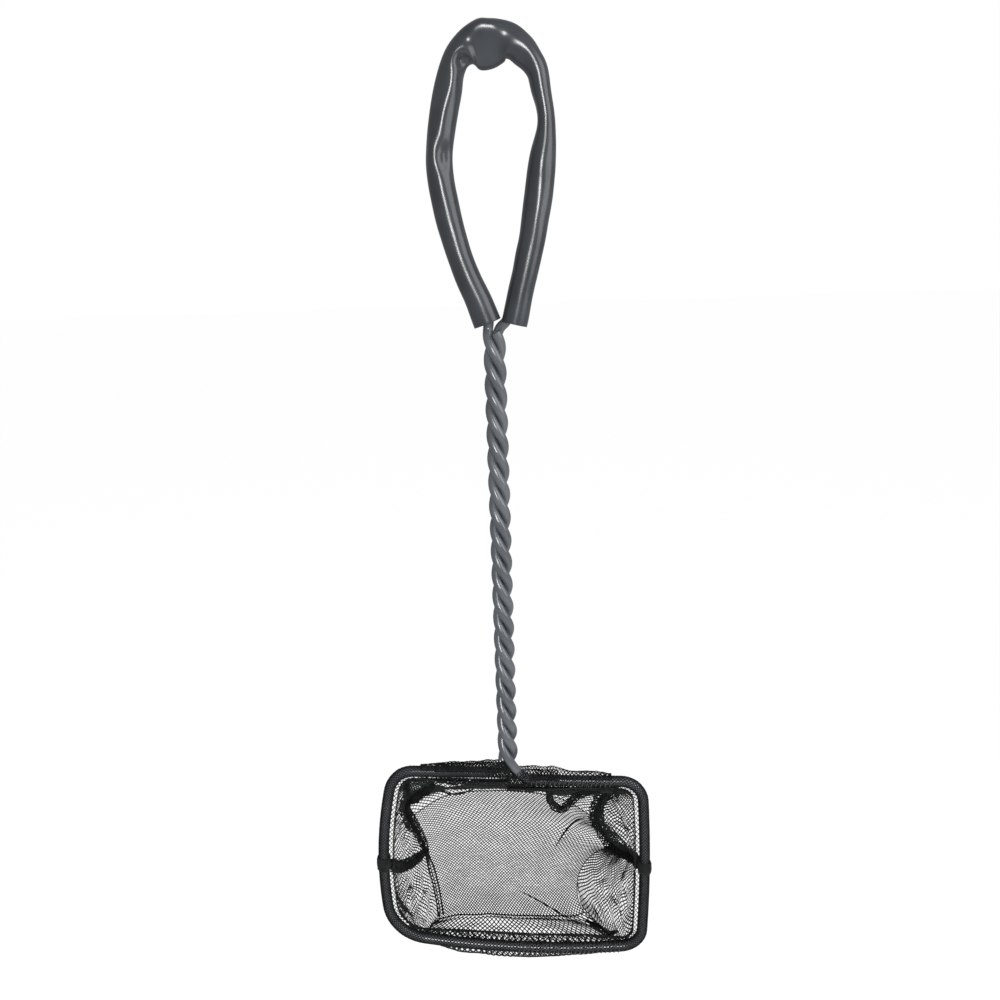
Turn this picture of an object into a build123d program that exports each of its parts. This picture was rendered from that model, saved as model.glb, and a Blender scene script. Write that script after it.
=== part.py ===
"""Aquarium fish net: a coated wire bent into a hoop, a three-strand twisted shaft and a
sleeved hanging loop, with a sewn netting bag. Millimetres, +Z up, hanging as on a peg.
The origin is the point inside the top of the loop that the net hangs from, the shaft runs
straight down from it, the hoop and the loop lie in the XZ plane and the bag is at +Y.
"""

import os
from math import atan, cos, pi, radians, sin, sqrt

from build123d import *

# Wire
wire_diameter = 3.5
core_diameter = 2.4
bond_clearance = 0.05

# Twisted shaft
twist_pitch = 26.2
twist_turns = 6.37
strand_gap = 0.15
foot_phase = -60.0

# Hanging loop and its sleeve
loop_drop = 86.8
crown_offset = 1.5
left_reach = 16.1
left_reach_height = 51.0
left_shoulder_reach = 12.4
left_shoulder_height = 77.0
left_shoulder_lean = 24.0
right_reach = 18.1
right_reach_height = 62.0
foot_offset = 1.42
foot_gap = 1.55
foot_height = 4.8
left_leg_lean = 19.5
right_leg_lean = 11.7
sleeve_diameter = 9.0
sleeve_wall = 0.8
wire_seat_clearance = 0.3

# Hoop
hoop_drop = 7.2
hoop_height = 79.9
top_width = 101.1
top_offset = 3.2
top_fall = 8.1
bottom_width = 107.6
bottom_offset = 0.4
bottom_fall = 8.8
corner_cut = 9.0
low_left_corner_cut = 16.0
left_bow = 2.0
right_bow = 0.8
bottom_bow = 2.5
neck_reach = 11.0
neck_step = 1.3

# Hem round the hoop
hem_clearance = 0.1
hem_wall = 0.5
flap_reach = 4.2
flap_thickness = 0.6
thread_diameter = 0.5
thread_inset = 0.5
thread_clearance = 0.03
band_length = 5.0
band_wall = 0.9
band_clearance = 0.1
left_band_drop = 6.5
right_band_drop = 0.0

# Netting bag
bag_clearance = 1.2
bag_depth = 60.0
bag_sag = 43.4
belly_depth = 22.0
belly_sag = 15.0
shoulder_depth = 53.0
shoulder_sag = 6.0
net_thickness = 0.8
back_width = 86.0
back_height = 72.0
back_offset = 2.4
back_fall = 5.0
back_corner_cut = 8.0
back_bow = 1.0
back_inset = 6.0
hole_pitch = 8.4
hole_size = 5.8
hole_margin = 3.0
seam_width = 2.6
seam_thickness = 1.2
seam_clearance = 0.4
seam_end_margin = 4.0

UP = Vector(0, 0, 1)
FACING = Vector(0, 1, 0)


def turned(direction, angle):
    """Turn a direction in the XZ plane by an angle in degrees, from +X towards +Z."""
    return Vector(
        direction.X * cos(radians(angle)) - direction.Z * sin(radians(angle)),
        direction.Y,
        direction.X * sin(radians(angle)) + direction.Z * cos(radians(angle)),
    )


def join_smoothly(start, start_way, end, end_way, tolerance=1e-6):
    """Add to the line being built a straight run or two tangent arcs between two knots."""
    reach = end - start
    if reach.cross(start_way).length + reach.cross(end_way).length < tolerance * reach.length:
        Line(start, end)
        return
    # Both arcs have handles of one length, which a quadratic equation gives
    square_term = 2 * (start_way.dot(end_way) - 1)
    linear_term = -2 * reach.dot(start_way + end_way)
    constant_term = reach.dot(reach)
    root = sqrt(linear_term**2 - 4 * square_term * constant_term)
    handle = 2 * constant_term / (root - linear_term)
    first_corner = start + start_way * handle
    second_corner = end - end_way * handle
    middle = (first_corner + second_corner) * 0.5
    TangentArc(start, middle, tangent=start_way)
    TangentArc(middle, end, tangent=(second_corner - first_corner).normalized())


def path_through(knots):
    """Return the smooth line through a list of (point, direction) knots."""
    with BuildLine() as path:
        for (start, start_way), (end, end_way) in zip(knots, knots[1:]):
            join_smoothly(start, start_way, end, end_way)
    return path.wire()


def inset_knots(knots, inset, backward=0.0):
    """Move knots of an XZ-plane path to its left, seen from -Y, by inset and towards +Y by backward."""
    return [(point + way.cross(FACING) * inset + FACING * backward, way) for point, way in knots]


def export(part, label):
    """Label a finished piece and write it out."""
    part.label = label
    export_step(part, f"parts/{label}.step")


def make_tube(label, path, outer, bore=0.0):
    """Sweep a round tube, or a rod where bore is 0, along a path."""
    with BuildPart() as tube:
        with BuildSketch(Plane(origin=path @ 0, z_dir=path % 0)):
            Circle(outer / 2)
            if bore:
                Circle(bore / 2, mode=Mode.SUBTRACT)
        sweep(path=path)
    section = pi * (outer**2 - bore**2) / 4
    print(f"{label}: volume over section times length {tube.part.volume / (section * path.length):.4f}")
    export(tube.part, label)
    return tube.part


def make_coated_wire(name, path):
    """Make the steel wire and the coating of one run of the wire."""
    make_tube(f"{name}_wire", path, core_diameter)
    make_tube(f"{name}_coating", path, wire_diameter, core_diameter + 2 * bond_clearance)


os.makedirs("parts", exist_ok=True)

# The lay of the twist: the radius at which neighbouring strands clear each other by strand_gap
strand_names = ("right_strand", "left_strand", "tail_strand")
strand_turn = 360 / len(strand_names)
twist_step = 2 * pi / twist_pitch


def strand_distance(lay_radius, samples=200):
    """Least distance between the centre lines of two neighbouring strands."""
    rises = [twist_pitch * (step / samples - 0.5) for step in range(samples + 1)]
    turns = [twist_step * rise + radians(strand_turn) for rise in rises]
    squares = [2 * lay_radius**2 * (1 - cos(turn)) + rise**2 for turn, rise in zip(turns, rises)]
    return sqrt(min(squares))


def find_lay_radius(spacing, halvings=60):
    """Halve an interval of radii until the strands are spacing apart."""
    low = 0.0
    high = 2 * spacing
    for _ in range(halvings):
        middle = (low + high) / 2
        if strand_distance(middle) < spacing:
            low = middle
        else:
            high = middle
    return high


lay_radius = find_lay_radius(wire_diameter + strand_gap)
shaft_length = twist_pitch * twist_turns
shaft_top = -loop_drop
shaft_foot = shaft_top - shaft_length
print(f"lay radius {lay_radius:.3f}, shaft length {shaft_length:.1f}")


def strand_knot(phase_at_foot, rise):
    """Point and upward direction on a strand of the left-handed twist, at a height above the foot."""
    angle = radians(phase_at_foot) - twist_step * rise
    point = Vector(lay_radius * cos(angle), lay_radius * sin(angle), shaft_foot + rise)
    swing = lay_radius * twist_step
    way = Vector(swing * sin(angle), -swing * cos(angle), 1).normalized()
    return point, way


def strand_knots(phase_at_foot):
    """Knots of one strand from the shaft's foot to its top, a quarter turn apart at most."""
    quarters = int(4 * twist_turns) + 1
    return [strand_knot(phase_at_foot, shaft_length * step / quarters) for step in range(quarters + 1)]


# The hanging loop: the sleeve's centre line, from the left foot over the crown to the right foot
sleeve_radius = sleeve_diameter / 2
sleeve_bore = sleeve_diameter - 2 * sleeve_wall
left_foot = foot_offset - foot_gap / 2 - sleeve_radius * cos(radians(left_leg_lean))
right_foot = foot_offset + foot_gap / 2 + sleeve_radius * cos(radians(right_leg_lean))
sleeve_knots = [
    (Vector(left_foot, 0, shaft_top + foot_height), turned(UP, left_leg_lean)),
    (Vector(-left_reach, 0, shaft_top + left_reach_height), UP),
    (Vector(-left_shoulder_reach, 0, shaft_top + left_shoulder_height), turned(UP, -left_shoulder_lean)),
    (Vector(crown_offset, 0, sleeve_radius), Vector(1, 0, 0)),
    (Vector(right_reach, 0, shaft_top + right_reach_height), -UP),
    (Vector(right_foot, 0, shaft_top + foot_height), turned(-UP, -right_leg_lean)),
]
wire_seat = (sleeve_bore - wire_diameter) / 2 - wire_seat_clearance
loop_knots = inset_knots(sleeve_knots, -wire_seat)

make_tube("grip_sleeve", path_through(sleeve_knots), sleeve_diameter, sleeve_bore)
make_coated_wire("loop", path_through(loop_knots))

# The hoop: four bowed bars, walked from the shaft to the left and round to the shaft again
top_middle = shaft_foot - hoop_drop
top_centre = top_middle - top_fall / top_width * top_offset
bottom_centre = top_centre - hoop_height


def corner(side, offset, width, middle, fall):
    """Corner of the hoop where two bars' straight lines would meet: side is -1 left, +1 right."""
    return Vector(offset + side * width / 2, 0, middle - side * fall / 2)


top_left = corner(-1, top_offset, top_width, top_centre, top_fall)
top_right = corner(1, top_offset, top_width, top_centre, top_fall)
bottom_left = corner(-1, bottom_offset, bottom_width, bottom_centre, bottom_fall)
bottom_right = corner(1, bottom_offset, bottom_width, bottom_centre, bottom_fall)


def bar_knots(start, end, start_cut, end_cut, bow):
    """Two knots of a bar that bows outwards, cut short of its corners."""
    way = (end - start).normalized()
    length = (end - start).length - start_cut - end_cut
    bend = atan(2 * bow / length) * 360 / pi
    return [
        (start + way * start_cut, turned(way, -bend)),
        (end - way * end_cut, turned(way, bend)),
    ]


# The two halves of the top bar leave the shaft at different heights, the left one higher
top_way = (top_right - top_left).normalized()
left_neck = Vector(0, 0, top_middle + neck_step) - top_way * neck_reach
right_neck = Vector(0, 0, top_middle - neck_step) + top_way * neck_reach
left_half_way = (top_left - left_neck).normalized()
right_half_way = (right_neck - top_right).normalized()
left_bar = bar_knots(top_left, bottom_left, corner_cut, low_left_corner_cut, left_bow)
bottom_bar = bar_knots(bottom_left, bottom_right, low_left_corner_cut, corner_cut, bottom_bow)
right_bar = bar_knots(bottom_right, top_right, corner_cut, corner_cut, right_bow)
top_right_knot = (top_right + right_half_way * corner_cut, right_half_way)
hoop_knots = [
    (left_neck, left_half_way),
    (top_left - left_half_way * corner_cut, left_half_way),
    *left_bar,
    *bottom_bar,
    *right_bar,
    top_right_knot,
    (right_neck, right_half_way),
]
hoop_path = path_through(hoop_knots)
make_coated_wire("hoop", hoop_path)

# The three strands of the shaft, each from the hoop's neck or its cut end up to the loop
right_strand_knots = strand_knots(foot_phase)
left_strand_knots = strand_knots(foot_phase + strand_turn)
tail_strand_knots = strand_knots(foot_phase + 2 * strand_turn)
left_leg_point, left_leg_way = loop_knots[0]
right_leg_point, right_leg_way = loop_knots[-1]
strand_paths = [
    path_through([(right_neck, right_half_way), *right_strand_knots, (left_leg_point, left_leg_way)]),
    path_through([(left_neck, -left_half_way), *left_strand_knots]),
    path_through([*tail_strand_knots, (right_leg_point, -right_leg_way)]),
]
for strand_name, strand_path in zip(strand_names, strand_paths):
    make_coated_wire(strand_name, strand_path)


def least_gap(first_path, second_path, samples=400):
    """Least distance between the surfaces of two runs of the wire, measured on points."""
    first_points = [first_path @ (step / samples) for step in range(samples + 1)]
    second_points = [second_path @ (step / samples) for step in range(samples + 1)]
    return min((one - other).length for one in first_points for other in second_points) - wire_diameter


for first, second in ((0, 1), (1, 2), (2, 0)):
    gap = least_gap(strand_paths[first], strand_paths[second])
    print(f"{strand_names[first]} to {strand_names[second]}: gap {gap:.3f}")

# The hem: netting turned round the hoop as a casing, with a flat flap to the inside
hem_bore = wire_diameter + 2 * hem_clearance
hem_diameter = hem_bore + 2 * hem_wall
flap_start = hem_bore / 2 + hem_wall / 2
flap_length = flap_reach - flap_start

with BuildPart() as hem_casing:
    with BuildSketch(Plane(origin=hoop_path @ 0, x_dir=(hoop_path % 0).cross(FACING), z_dir=hoop_path % 0)):
        Circle(hem_diameter / 2)
        with Locations((flap_start + flap_length / 2, 0)):
            Rectangle(flap_length, flap_thickness)
        Circle(hem_bore / 2, mode=Mode.SUBTRACT)
    sweep(path=hoop_path)
export(hem_casing.part, "hem_casing")

stitch_inset = flap_reach - thread_inset
stitch_lift = flap_thickness / 2 + thread_diameter / 2 + thread_clearance
make_tube("hem_stitching", path_through(inset_knots(hoop_knots, stitch_inset, -stitch_lift)), thread_diameter)


def bar_place(knots, drop):
    """Place and direction on a bowed bar that two knots bound, a drop below its middle."""
    path = path_through(knots)
    downward = -1 if (path % 0.5).Z > 0 else 1
    share = 0.5 + downward * drop / path.length
    return path @ share, path % share


def make_band(label, bar, drop):
    """Make the thick band of overlock thread where a side seam wraps the hem of one bar."""
    middle, way = bar_place(bar, drop)
    inner_radius = hem_diameter / 2 + band_clearance
    outer_radius = inner_radius + band_wall
    with BuildPart() as band:
        with BuildSketch(Plane(origin=middle - way * (band_length / 2), x_dir=way.cross(FACING), z_dir=way)):
            Circle(outer_radius)
            Circle(inner_radius, mode=Mode.SUBTRACT)
            with Locations((outer_radius / 2, 0)):
                Rectangle(2 * outer_radius, flap_thickness + 2 * band_clearance, mode=Mode.SUBTRACT)
        extrude(amount=band_length)
    export(band.part, label)


make_band("left_hem_band", left_bar, left_band_drop)
make_band("right_hem_band", right_bar, right_band_drop)

# The bag: netting that hangs slack behind the hoop, open at the hoop
mouth_inset = flap_reach + bag_clearance
mouth_plane = -flap_thickness / 2
# Its top edge follows the lower, right half of the hoop's top bar across to the left bar
mouth_top_run = (top_right - top_left).length - 2 * corner_cut
mouth_top_left_knot = (top_right_knot[0] + right_half_way * mouth_top_run, right_half_way)
mouth_outline = [mouth_top_left_knot, *left_bar, *bottom_bar, *right_bar, top_right_knot]
mouth_knots = inset_knots(mouth_outline, mouth_inset)

back_centre = (top_centre + bottom_centre) / 2 - bag_sag
back_top = back_centre + back_height / 2
back_bottom = back_centre - back_height / 2
back_top_left = corner(-1, back_offset, back_width, back_top, back_fall)
back_top_right = corner(1, back_offset, back_width, back_top, back_fall)
back_bottom_left = corner(-1, back_offset, back_width, back_bottom, back_fall)
back_bottom_right = corner(1, back_offset, back_width, back_bottom, back_fall)
back_way = (back_top_right - back_top_left).normalized()
back_left_bar = bar_knots(back_top_left, back_bottom_left, back_corner_cut, back_corner_cut, back_bow)
back_right_bar = bar_knots(back_bottom_right, back_top_right, back_corner_cut, back_corner_cut, back_bow)
back_knots = [
    (back_top_left + back_way * back_corner_cut, -back_way),
    *back_left_bar,
    *bar_knots(back_bottom_left, back_bottom_right, back_corner_cut, back_corner_cut, back_bow),
    *back_right_bar,
    (back_top_right - back_way * back_corner_cut, -back_way),
]


# Knots of an outline, in order: top left, left bar, bottom bar, right bar, top right
low_knots = (2, 3, 4, 5)


def section_knots(depth, sag, inset):
    """Knots of the bag's outline at a depth, with the lower bar let down by sag and the whole drawn in."""
    share = max(depth, 0) / bag_depth
    knots = []
    for index, ((front, front_way), (back, rear_way)) in enumerate(zip(mouth_knots, back_knots)):
        point = front + (back - front) * share + FACING * depth
        if index in low_knots:
            point -= UP * sag
        knots.append((point, (front_way + (rear_way - front_way) * share).normalized()))
    return inset_knots(knots, inset)


def outline(knots):
    """Closed face inside the line through the knots, which runs straight back to its first knot."""
    return Face(path_through([*knots, knots[0]]))


# Depth, sag and inset of each section of the bag
bag_sections = [
    (mouth_plane, 0, 0),
    (belly_depth, belly_sag, 0),
    (shoulder_depth, shoulder_sag, 0),
    (bag_depth, 0, back_inset),
]
inner_depths = [mouth_plane, belly_depth, shoulder_depth, bag_depth - net_thickness]


def wall_points(depth):
    """Points of the bag's outline knots at a depth between the mouth and the shoulder."""
    near, far = bag_sections[:2] if depth < belly_depth else bag_sections[1:3]
    share = (depth - near[0]) / (far[0] - near[0])
    pairs = zip(section_knots(*near), section_knots(*far))
    return [one + (other - one) * share for (one, _), (other, _) in pairs]


def spread(low, high):
    """Middles of the holes that fit between two limits at the holes' pitch."""
    count = int((high - low - 2 * hole_margin + hole_pitch - hole_size) / hole_pitch)
    first = (low + high - (count - 1) * hole_pitch) / 2
    return [first + hole_pitch * step for step in range(count)]


def between(start, end, x):
    """Height at x on the straight line between two points."""
    return start.Z + (end.Z - start.Z) * (x - start.X) / (end.X - start.X)


# The netting's openings, coarser than the real ones: places in the back, level and side walls
back_holes = []
level_holes = []
side_holes = []
back_points = [point for point, _ in section_knots(*bag_sections[-1])]
for x in spread(back_points[1].X, back_points[6].X):
    top = between(back_points[0], back_points[7], x)
    bottom = between(back_points[3], back_points[4], x)
    back_holes += [(x, bag_depth - net_thickness / 2, z) for z in spread(bottom, top)]
for depth in spread(0, shoulder_depth):
    points = wall_points(depth)
    for low_side, high_side in ((0, 7), (3, 4)):
        start, end = points[low_side], points[high_side]
        level_holes += [(x, depth, between(start, end, x)) for x in spread(start.X, end.X)]
    for high, low in ((points[1], points[2]), (points[6], points[5])):
        middle = (high + low) * 0.5
        for start, end in ((low, middle), (middle, high)):
            for z in spread(start.Z, end.Z):
                share = (z - start.Z) / (end.Z - start.Z)
                side_holes.append((start.X + (end.X - start.X) * share, depth, z))
print(f"openings in the netting: {len(back_holes) + len(level_holes) + len(side_holes)}")

# Each opening is cut by a box long enough for the slope of its wall
hole_reach = 2.4 * hole_pitch
with BuildPart() as net_bag:
    loft(sections=[outline(section_knots(*section)) for section in bag_sections], ruled=True)
    loft(
        sections=[
            outline(section_knots(depth, sag, inset + net_thickness))
            for depth, (_, sag, inset) in zip(inner_depths, bag_sections)
        ],
        ruled=True,
        mode=Mode.SUBTRACT,
    )
    with Locations(*back_holes):
        Box(hole_size, 3 * net_thickness, hole_size, mode=Mode.SUBTRACT)
    with Locations(*level_holes):
        Box(hole_size, hole_size, hole_reach, mode=Mode.SUBTRACT)
    with Locations(*side_holes):
        Box(hole_reach, hole_size, hole_size, mode=Mode.SUBTRACT)
print(f"net_bag: solids {len(net_bag.part.solids())}, faces {len(net_bag.part.faces())}")
export(net_bag.part, "net_bag")

# The seams of the bag: side seams from the hoop back, corner seams down the sides of the back panel
seam_lift = seam_clearance + seam_thickness / 2
left_bar_knots = slice(1, 3)
right_bar_knots = slice(5, 7)


def seam_bar(section, side):
    """Knots of one side of the bag's outline at a section, moved out to the middle of a seam."""
    depth, sag, inset = section
    return section_knots(depth, sag, inset - seam_lift)[side]


def make_corner_seam(label, side):
    """Make the seam along one side of the back panel."""
    path = path_through([(point - FACING * seam_width / 2, way) for point, way in seam_bar(bag_sections[2], side)])
    with BuildPart() as seam:
        with BuildSketch(Plane(origin=path @ 0, x_dir=(path % 0).cross(FACING), z_dir=path % 0)):
            Rectangle(seam_thickness, seam_width)
        sweep(path=path)
    export(seam.part, label)


def make_side_seam(label, side, drop):
    """Make the seam from the hoop to one corner seam, along the wall's mouth, belly and shoulder."""
    (mouth_point, way), (belly_point, _), (shoulder_point, _) = (
        bar_place(seam_bar(section, side), drop * share)
        for section, share in zip(bag_sections, (1, 1 - belly_depth / shoulder_depth, 0))
    )
    first = mouth_point + (belly_point - mouth_point) * (seam_end_margin / belly_depth)
    last_share = (seam_width + 2 * seam_clearance) / (shoulder_depth - belly_depth)
    last = shoulder_point + (belly_point - shoulder_point) * last_share
    with BuildPart() as seam:
        for place in (first, belly_point, last):
            with BuildSketch(Plane(origin=place, x_dir=way.cross(FACING), z_dir=FACING)):
                Rectangle(seam_thickness, seam_width)
        loft(ruled=True)
    export(seam.part, label)


make_corner_seam("left_corner_seam", left_bar_knots)
make_corner_seam("right_corner_seam", right_bar_knots)
make_side_seam("left_side_seam", left_bar_knots, left_band_drop)
make_side_seam("right_side_seam", right_bar_knots, right_band_drop)
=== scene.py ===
"""Aquarium fish net: the netting, seams, hem, grip sleeve and finishes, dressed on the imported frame.

Lengths inside the classes are millimetres on the frame's own axes. The origin is the hanging point, X runs
across, Y runs back into the bag and Z runs up. A finished mesh is scaled to metres.
"""

import logging
import math
from bisect import bisect_right
from collections.abc import Callable, Sequence
from dataclasses import dataclass, field
from enum import Enum

import bmesh
import bpy
from mathutils import Matrix, Vector, geometry, noise


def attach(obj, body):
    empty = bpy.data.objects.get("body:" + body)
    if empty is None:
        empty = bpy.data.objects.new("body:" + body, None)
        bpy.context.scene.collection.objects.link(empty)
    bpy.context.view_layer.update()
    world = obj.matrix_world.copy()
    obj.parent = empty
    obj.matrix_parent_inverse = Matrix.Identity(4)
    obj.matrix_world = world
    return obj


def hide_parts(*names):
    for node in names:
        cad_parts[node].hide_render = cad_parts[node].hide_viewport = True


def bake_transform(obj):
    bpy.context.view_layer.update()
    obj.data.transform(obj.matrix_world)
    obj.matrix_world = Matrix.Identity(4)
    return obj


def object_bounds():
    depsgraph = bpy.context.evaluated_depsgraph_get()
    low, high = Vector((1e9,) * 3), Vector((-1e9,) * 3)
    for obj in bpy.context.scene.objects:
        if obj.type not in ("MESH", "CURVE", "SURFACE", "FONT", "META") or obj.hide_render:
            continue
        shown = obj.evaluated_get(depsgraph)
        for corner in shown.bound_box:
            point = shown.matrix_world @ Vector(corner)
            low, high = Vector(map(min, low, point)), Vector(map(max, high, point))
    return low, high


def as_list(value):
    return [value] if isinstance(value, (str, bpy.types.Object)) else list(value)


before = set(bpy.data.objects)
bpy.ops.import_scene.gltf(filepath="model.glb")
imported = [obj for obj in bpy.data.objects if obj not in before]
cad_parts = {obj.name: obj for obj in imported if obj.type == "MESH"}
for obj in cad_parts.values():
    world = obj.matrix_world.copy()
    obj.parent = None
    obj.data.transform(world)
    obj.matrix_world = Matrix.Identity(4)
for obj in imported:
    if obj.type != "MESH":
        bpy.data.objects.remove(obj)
cad_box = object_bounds()

logging.basicConfig(level=logging.INFO, format="%(message)s")
LOG = logging.getLogger("fish_net")

NOISE_SEED = 5
MM = 0.001
WELD = 1e-4
BACK = Vector((0.0, 1.0, 0.0))
WHITE = (1.0, 1.0, 1.0, 1.0)

Mesh = bmesh.types.BMesh
Piece = bpy.types.Object
Node = bpy.types.Node
Surface = Callable[[float, float], Vector]
Knot = tuple[Vector, Vector]
Place = tuple[float, float, float]
Colour = tuple[float, float, float]
Span = tuple[float, float]
Strips = dict[str, list[Piece]]


class Slot(Enum):
    """Material slots of the record."""

    STEEL = "steel_wire"
    GREY_VINYL = "grey_vinyl"
    DARK_VINYL = "dark_vinyl"
    NETTING = "black_netting"
    THREAD = "black_thread"


class Body(Enum):
    """Bodies of the record that a piece moves with."""

    FRAME = "frame"
    BAG = "bag"


class Side(Enum):
    """Sides of the net, as seen from the front."""

    LEFT = "left"
    RIGHT = "right"


class SeamKind(Enum):
    """How a strip of the bag is made: sewn over with thread, one folded edge, or loose gathers."""

    SEWN = "sewn"
    FOLD = "fold"
    GATHER = "gather"


def ease(value: float, low: float, high: float) -> float:
    """Return 0 below low, 1 above high and a smooth step between them."""
    share = min(max((value - low) / (high - low), 0.0), 1.0)
    return share * share * (3.0 - 2.0 * share)


def hill(value: float, middle: float, reach: float) -> float:
    """Return a bell of height 1 round a middle."""
    return math.exp(-(((value - middle) / reach) ** 2))


def turned(way: Vector, angle: float) -> Vector:
    """Return a direction of the XZ plane turned by degrees from +X towards +Z."""
    cosine = math.cos(math.radians(angle))
    sine = math.sin(math.radians(angle))
    return Vector((way.x * cosine - way.z * sine, way.y, way.x * sine + way.z * cosine))


def wander(place: Vector, grain: float) -> Vector:
    """Return a little vector of noise for a place, which changes over a grain's length."""
    return noise.noise_vector(place / grain)


def ripple(distance: float, grain: float, turn: float, tightness: float = 1.0) -> float:
    """Return noise from -1 to 1 for a place along a tube and an angle round it."""
    return noise.noise(Vector((distance / grain, tightness * math.cos(turn), tightness * math.sin(turn))))


class Route:
    """A curve in millimetres that is walked by its length."""

    def __init__(self, points: Sequence[Vector]) -> None:
        """Measure the curve and carry a steady side direction along it, which starts out backwards."""
        self.points = [Vector(point) for point in points]
        self.marks = [0.0]
        for near, far in zip(self.points, self.points[1:]):
            self.marks.append(self.marks[-1] + (far - near).length)
        self.normals: list[Vector] = []
        normal = BACK
        for mark in self.marks:
            way = self.way(mark)
            normal = normal - way * normal.dot(way)
            normal = normal.normalized() if normal.length > 1e-6 else way.orthogonal().normalized()
            self.normals.append(normal)

    @property
    def length(self) -> float:
        """Return the whole length."""
        return self.marks[-1]

    def seek(self, distance: float) -> tuple[int, float]:
        """Return the stretch that holds a distance, and the share of it."""
        place = min(max(distance, 0.0), self.length)
        index = min(bisect_right(self.marks, place) - 1, len(self.points) - 2)
        span = self.marks[index + 1] - self.marks[index]
        return index, (place - self.marks[index]) / span if span > 0.0 else 0.0

    def at(self, distance: float) -> Vector:
        """Return the place at a distance from the start."""
        index, share = self.seek(distance)
        return self.points[index].lerp(self.points[index + 1], share)

    def part(self, share: float) -> Vector:
        """Return the place at a share of the length."""
        return self.at(share * self.length)

    def way(self, distance: float, step: float = 0.3) -> Vector:
        """Return the direction of travel at a distance from the start."""
        return (self.at(distance + step) - self.at(distance - step)).normalized()

    def normal(self, distance: float) -> Vector:
        """Return the carried normal at a distance from the start."""
        index, share = self.seek(distance)
        return self.normals[index].lerp(self.normals[index + 1], share).normalized()

    def nearest(self, place: Sequence[float]) -> float:
        """Return the distance at which the curve passes closest to a place."""
        goal = Vector(place)
        index = min(range(len(self.points)), key=lambda step: (self.points[step] - goal).length)
        return self.marks[index]

    @classmethod
    def smooth(cls, places: Sequence[Place | Vector], detail: int = 14) -> "Route":
        """Run a smooth curve through a few places.

        Args:
            places: The places, in order.
            detail: Points on each stretch.

        Returns:
            The curve.
        """
        knots = [Vector(place) for place in places]
        ways = []
        for index in range(len(knots)):
            before = knots[max(index - 1, 0)]
            after = knots[min(index + 1, len(knots) - 1)]
            ways.append((after - before).normalized())
        points = [knots[0]]
        for (near, near_way), (far, far_way) in zip(zip(knots, ways), zip(knots[1:], ways[1:])):
            handle = (far - near).length / 3.0
            stretch = geometry.interpolate_bezier(
                near, near + near_way * handle, far - far_way * handle, far, detail
            )
            points.extend(Vector(point) for point in stretch[1:])
        return cls(points)

    @classmethod
    def arcs(cls, knots: Sequence[Knot], detail: int = 14) -> tuple["Route", list[float]]:
        """Run two tangent arcs between each pair of knots, as the wire was bent.

        Args:
            knots: Places with their directions of travel.
            detail: Points on each arc.

        Returns:
            The curve, and the distance at which each knot lies.
        """
        points = [knots[0][0]]
        ends = [0]
        for (start, start_way), (end, end_way) in zip(knots, knots[1:]):
            reach = end - start
            square = 2.0 * (start_way.dot(end_way) - 1.0)
            linear = -2.0 * reach.dot(start_way + end_way)
            root = math.sqrt(linear**2 - 4.0 * square * reach.dot(reach))
            handle = 2.0 * reach.dot(reach) / (root - linear)
            first = start + start_way * handle
            second = end - end_way * handle
            middle = (first + second) * 0.5
            for near, bend, far in ((start, first, middle), (middle, second, end)):
                weight = (far - near).length / (2.0 * (bend - near).length)
                for step in range(1, detail + 1):
                    share = step / detail
                    shares = ((1 - share) ** 2, 2 * share * (1 - share) * weight, share**2)
                    points.append((near * shares[0] + bend * shares[1] + far * shares[2]) / sum(shares))
            ends.append(len(points) - 1)
        route = cls(points)
        return route, [route.marks[index] for index in ends]


def coons(first: Route, last: Route, near: Route, far: Route) -> Surface:
    """Return a patch between four edges: first and last are walked by u, near and far by v."""

    def place(u: float, v: float) -> Vector:
        """Return the patch's place at u and v."""
        ruled = first.part(u).lerp(last.part(u), v) + near.part(v).lerp(far.part(v), u)
        low = first.part(0.0).lerp(first.part(1.0), u)
        high = last.part(0.0).lerp(last.part(1.0), u)
        return ruled - low.lerp(high, v)

    return place


def flat_size(surface: Surface, steps: int = 24) -> tuple[float, float, float]:
    """Measure the cut that a surface was hung from.

    Args:
        surface: The surface, for u and v from 0 to 1.
        steps: Lines in each direction.

    Returns:
        Its mean width along u, its mean length along v, and its area.
    """
    rows = [[surface(u / steps, v / steps) for u in range(steps + 1)] for v in range(steps + 1)]
    means = []
    for lines in (rows, list(zip(*rows))):
        total = sum((far - near).length for line in lines for near, far in zip(line, line[1:]))
        means.append(total / len(lines))
    area = 0.0
    for near_row, far_row in zip(rows, rows[1:]):
        for corners in zip(near_row, near_row[1:], far_row[1:], far_row):
            area += geometry.area_tri(corners[0], corners[1], corners[2])
            area += geometry.area_tri(corners[0], corners[2], corners[3])
    return means[0], means[1], min(area, means[0] * means[1])


def unit_grid(across: int, along: int) -> Mesh:
    """Return a flat grid of faces, 1 by 1 round the origin."""
    mesh = bmesh.new()
    bmesh.ops.create_grid(mesh, x_segments=across, y_segments=along, size=0.5)
    return mesh


def lay(mesh: Mesh, surface: Surface, closed: bool) -> None:
    """Lay a unit grid on a surface, and weld u = 0 to u = 1 where it is closed."""
    for vert in mesh.verts:
        vert.co = surface(vert.co.x + 0.5, vert.co.y + 0.5)
    if closed:
        bmesh.ops.remove_doubles(mesh, verts=mesh.verts[:], dist=WELD)


def skin_mesh(around: int, along: int, surface: Surface) -> Mesh:
    """Return a closed skin with open ends: u runs round it and v along it."""
    mesh = unit_grid(around, along)
    lay(mesh, surface, True)
    return mesh


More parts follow.
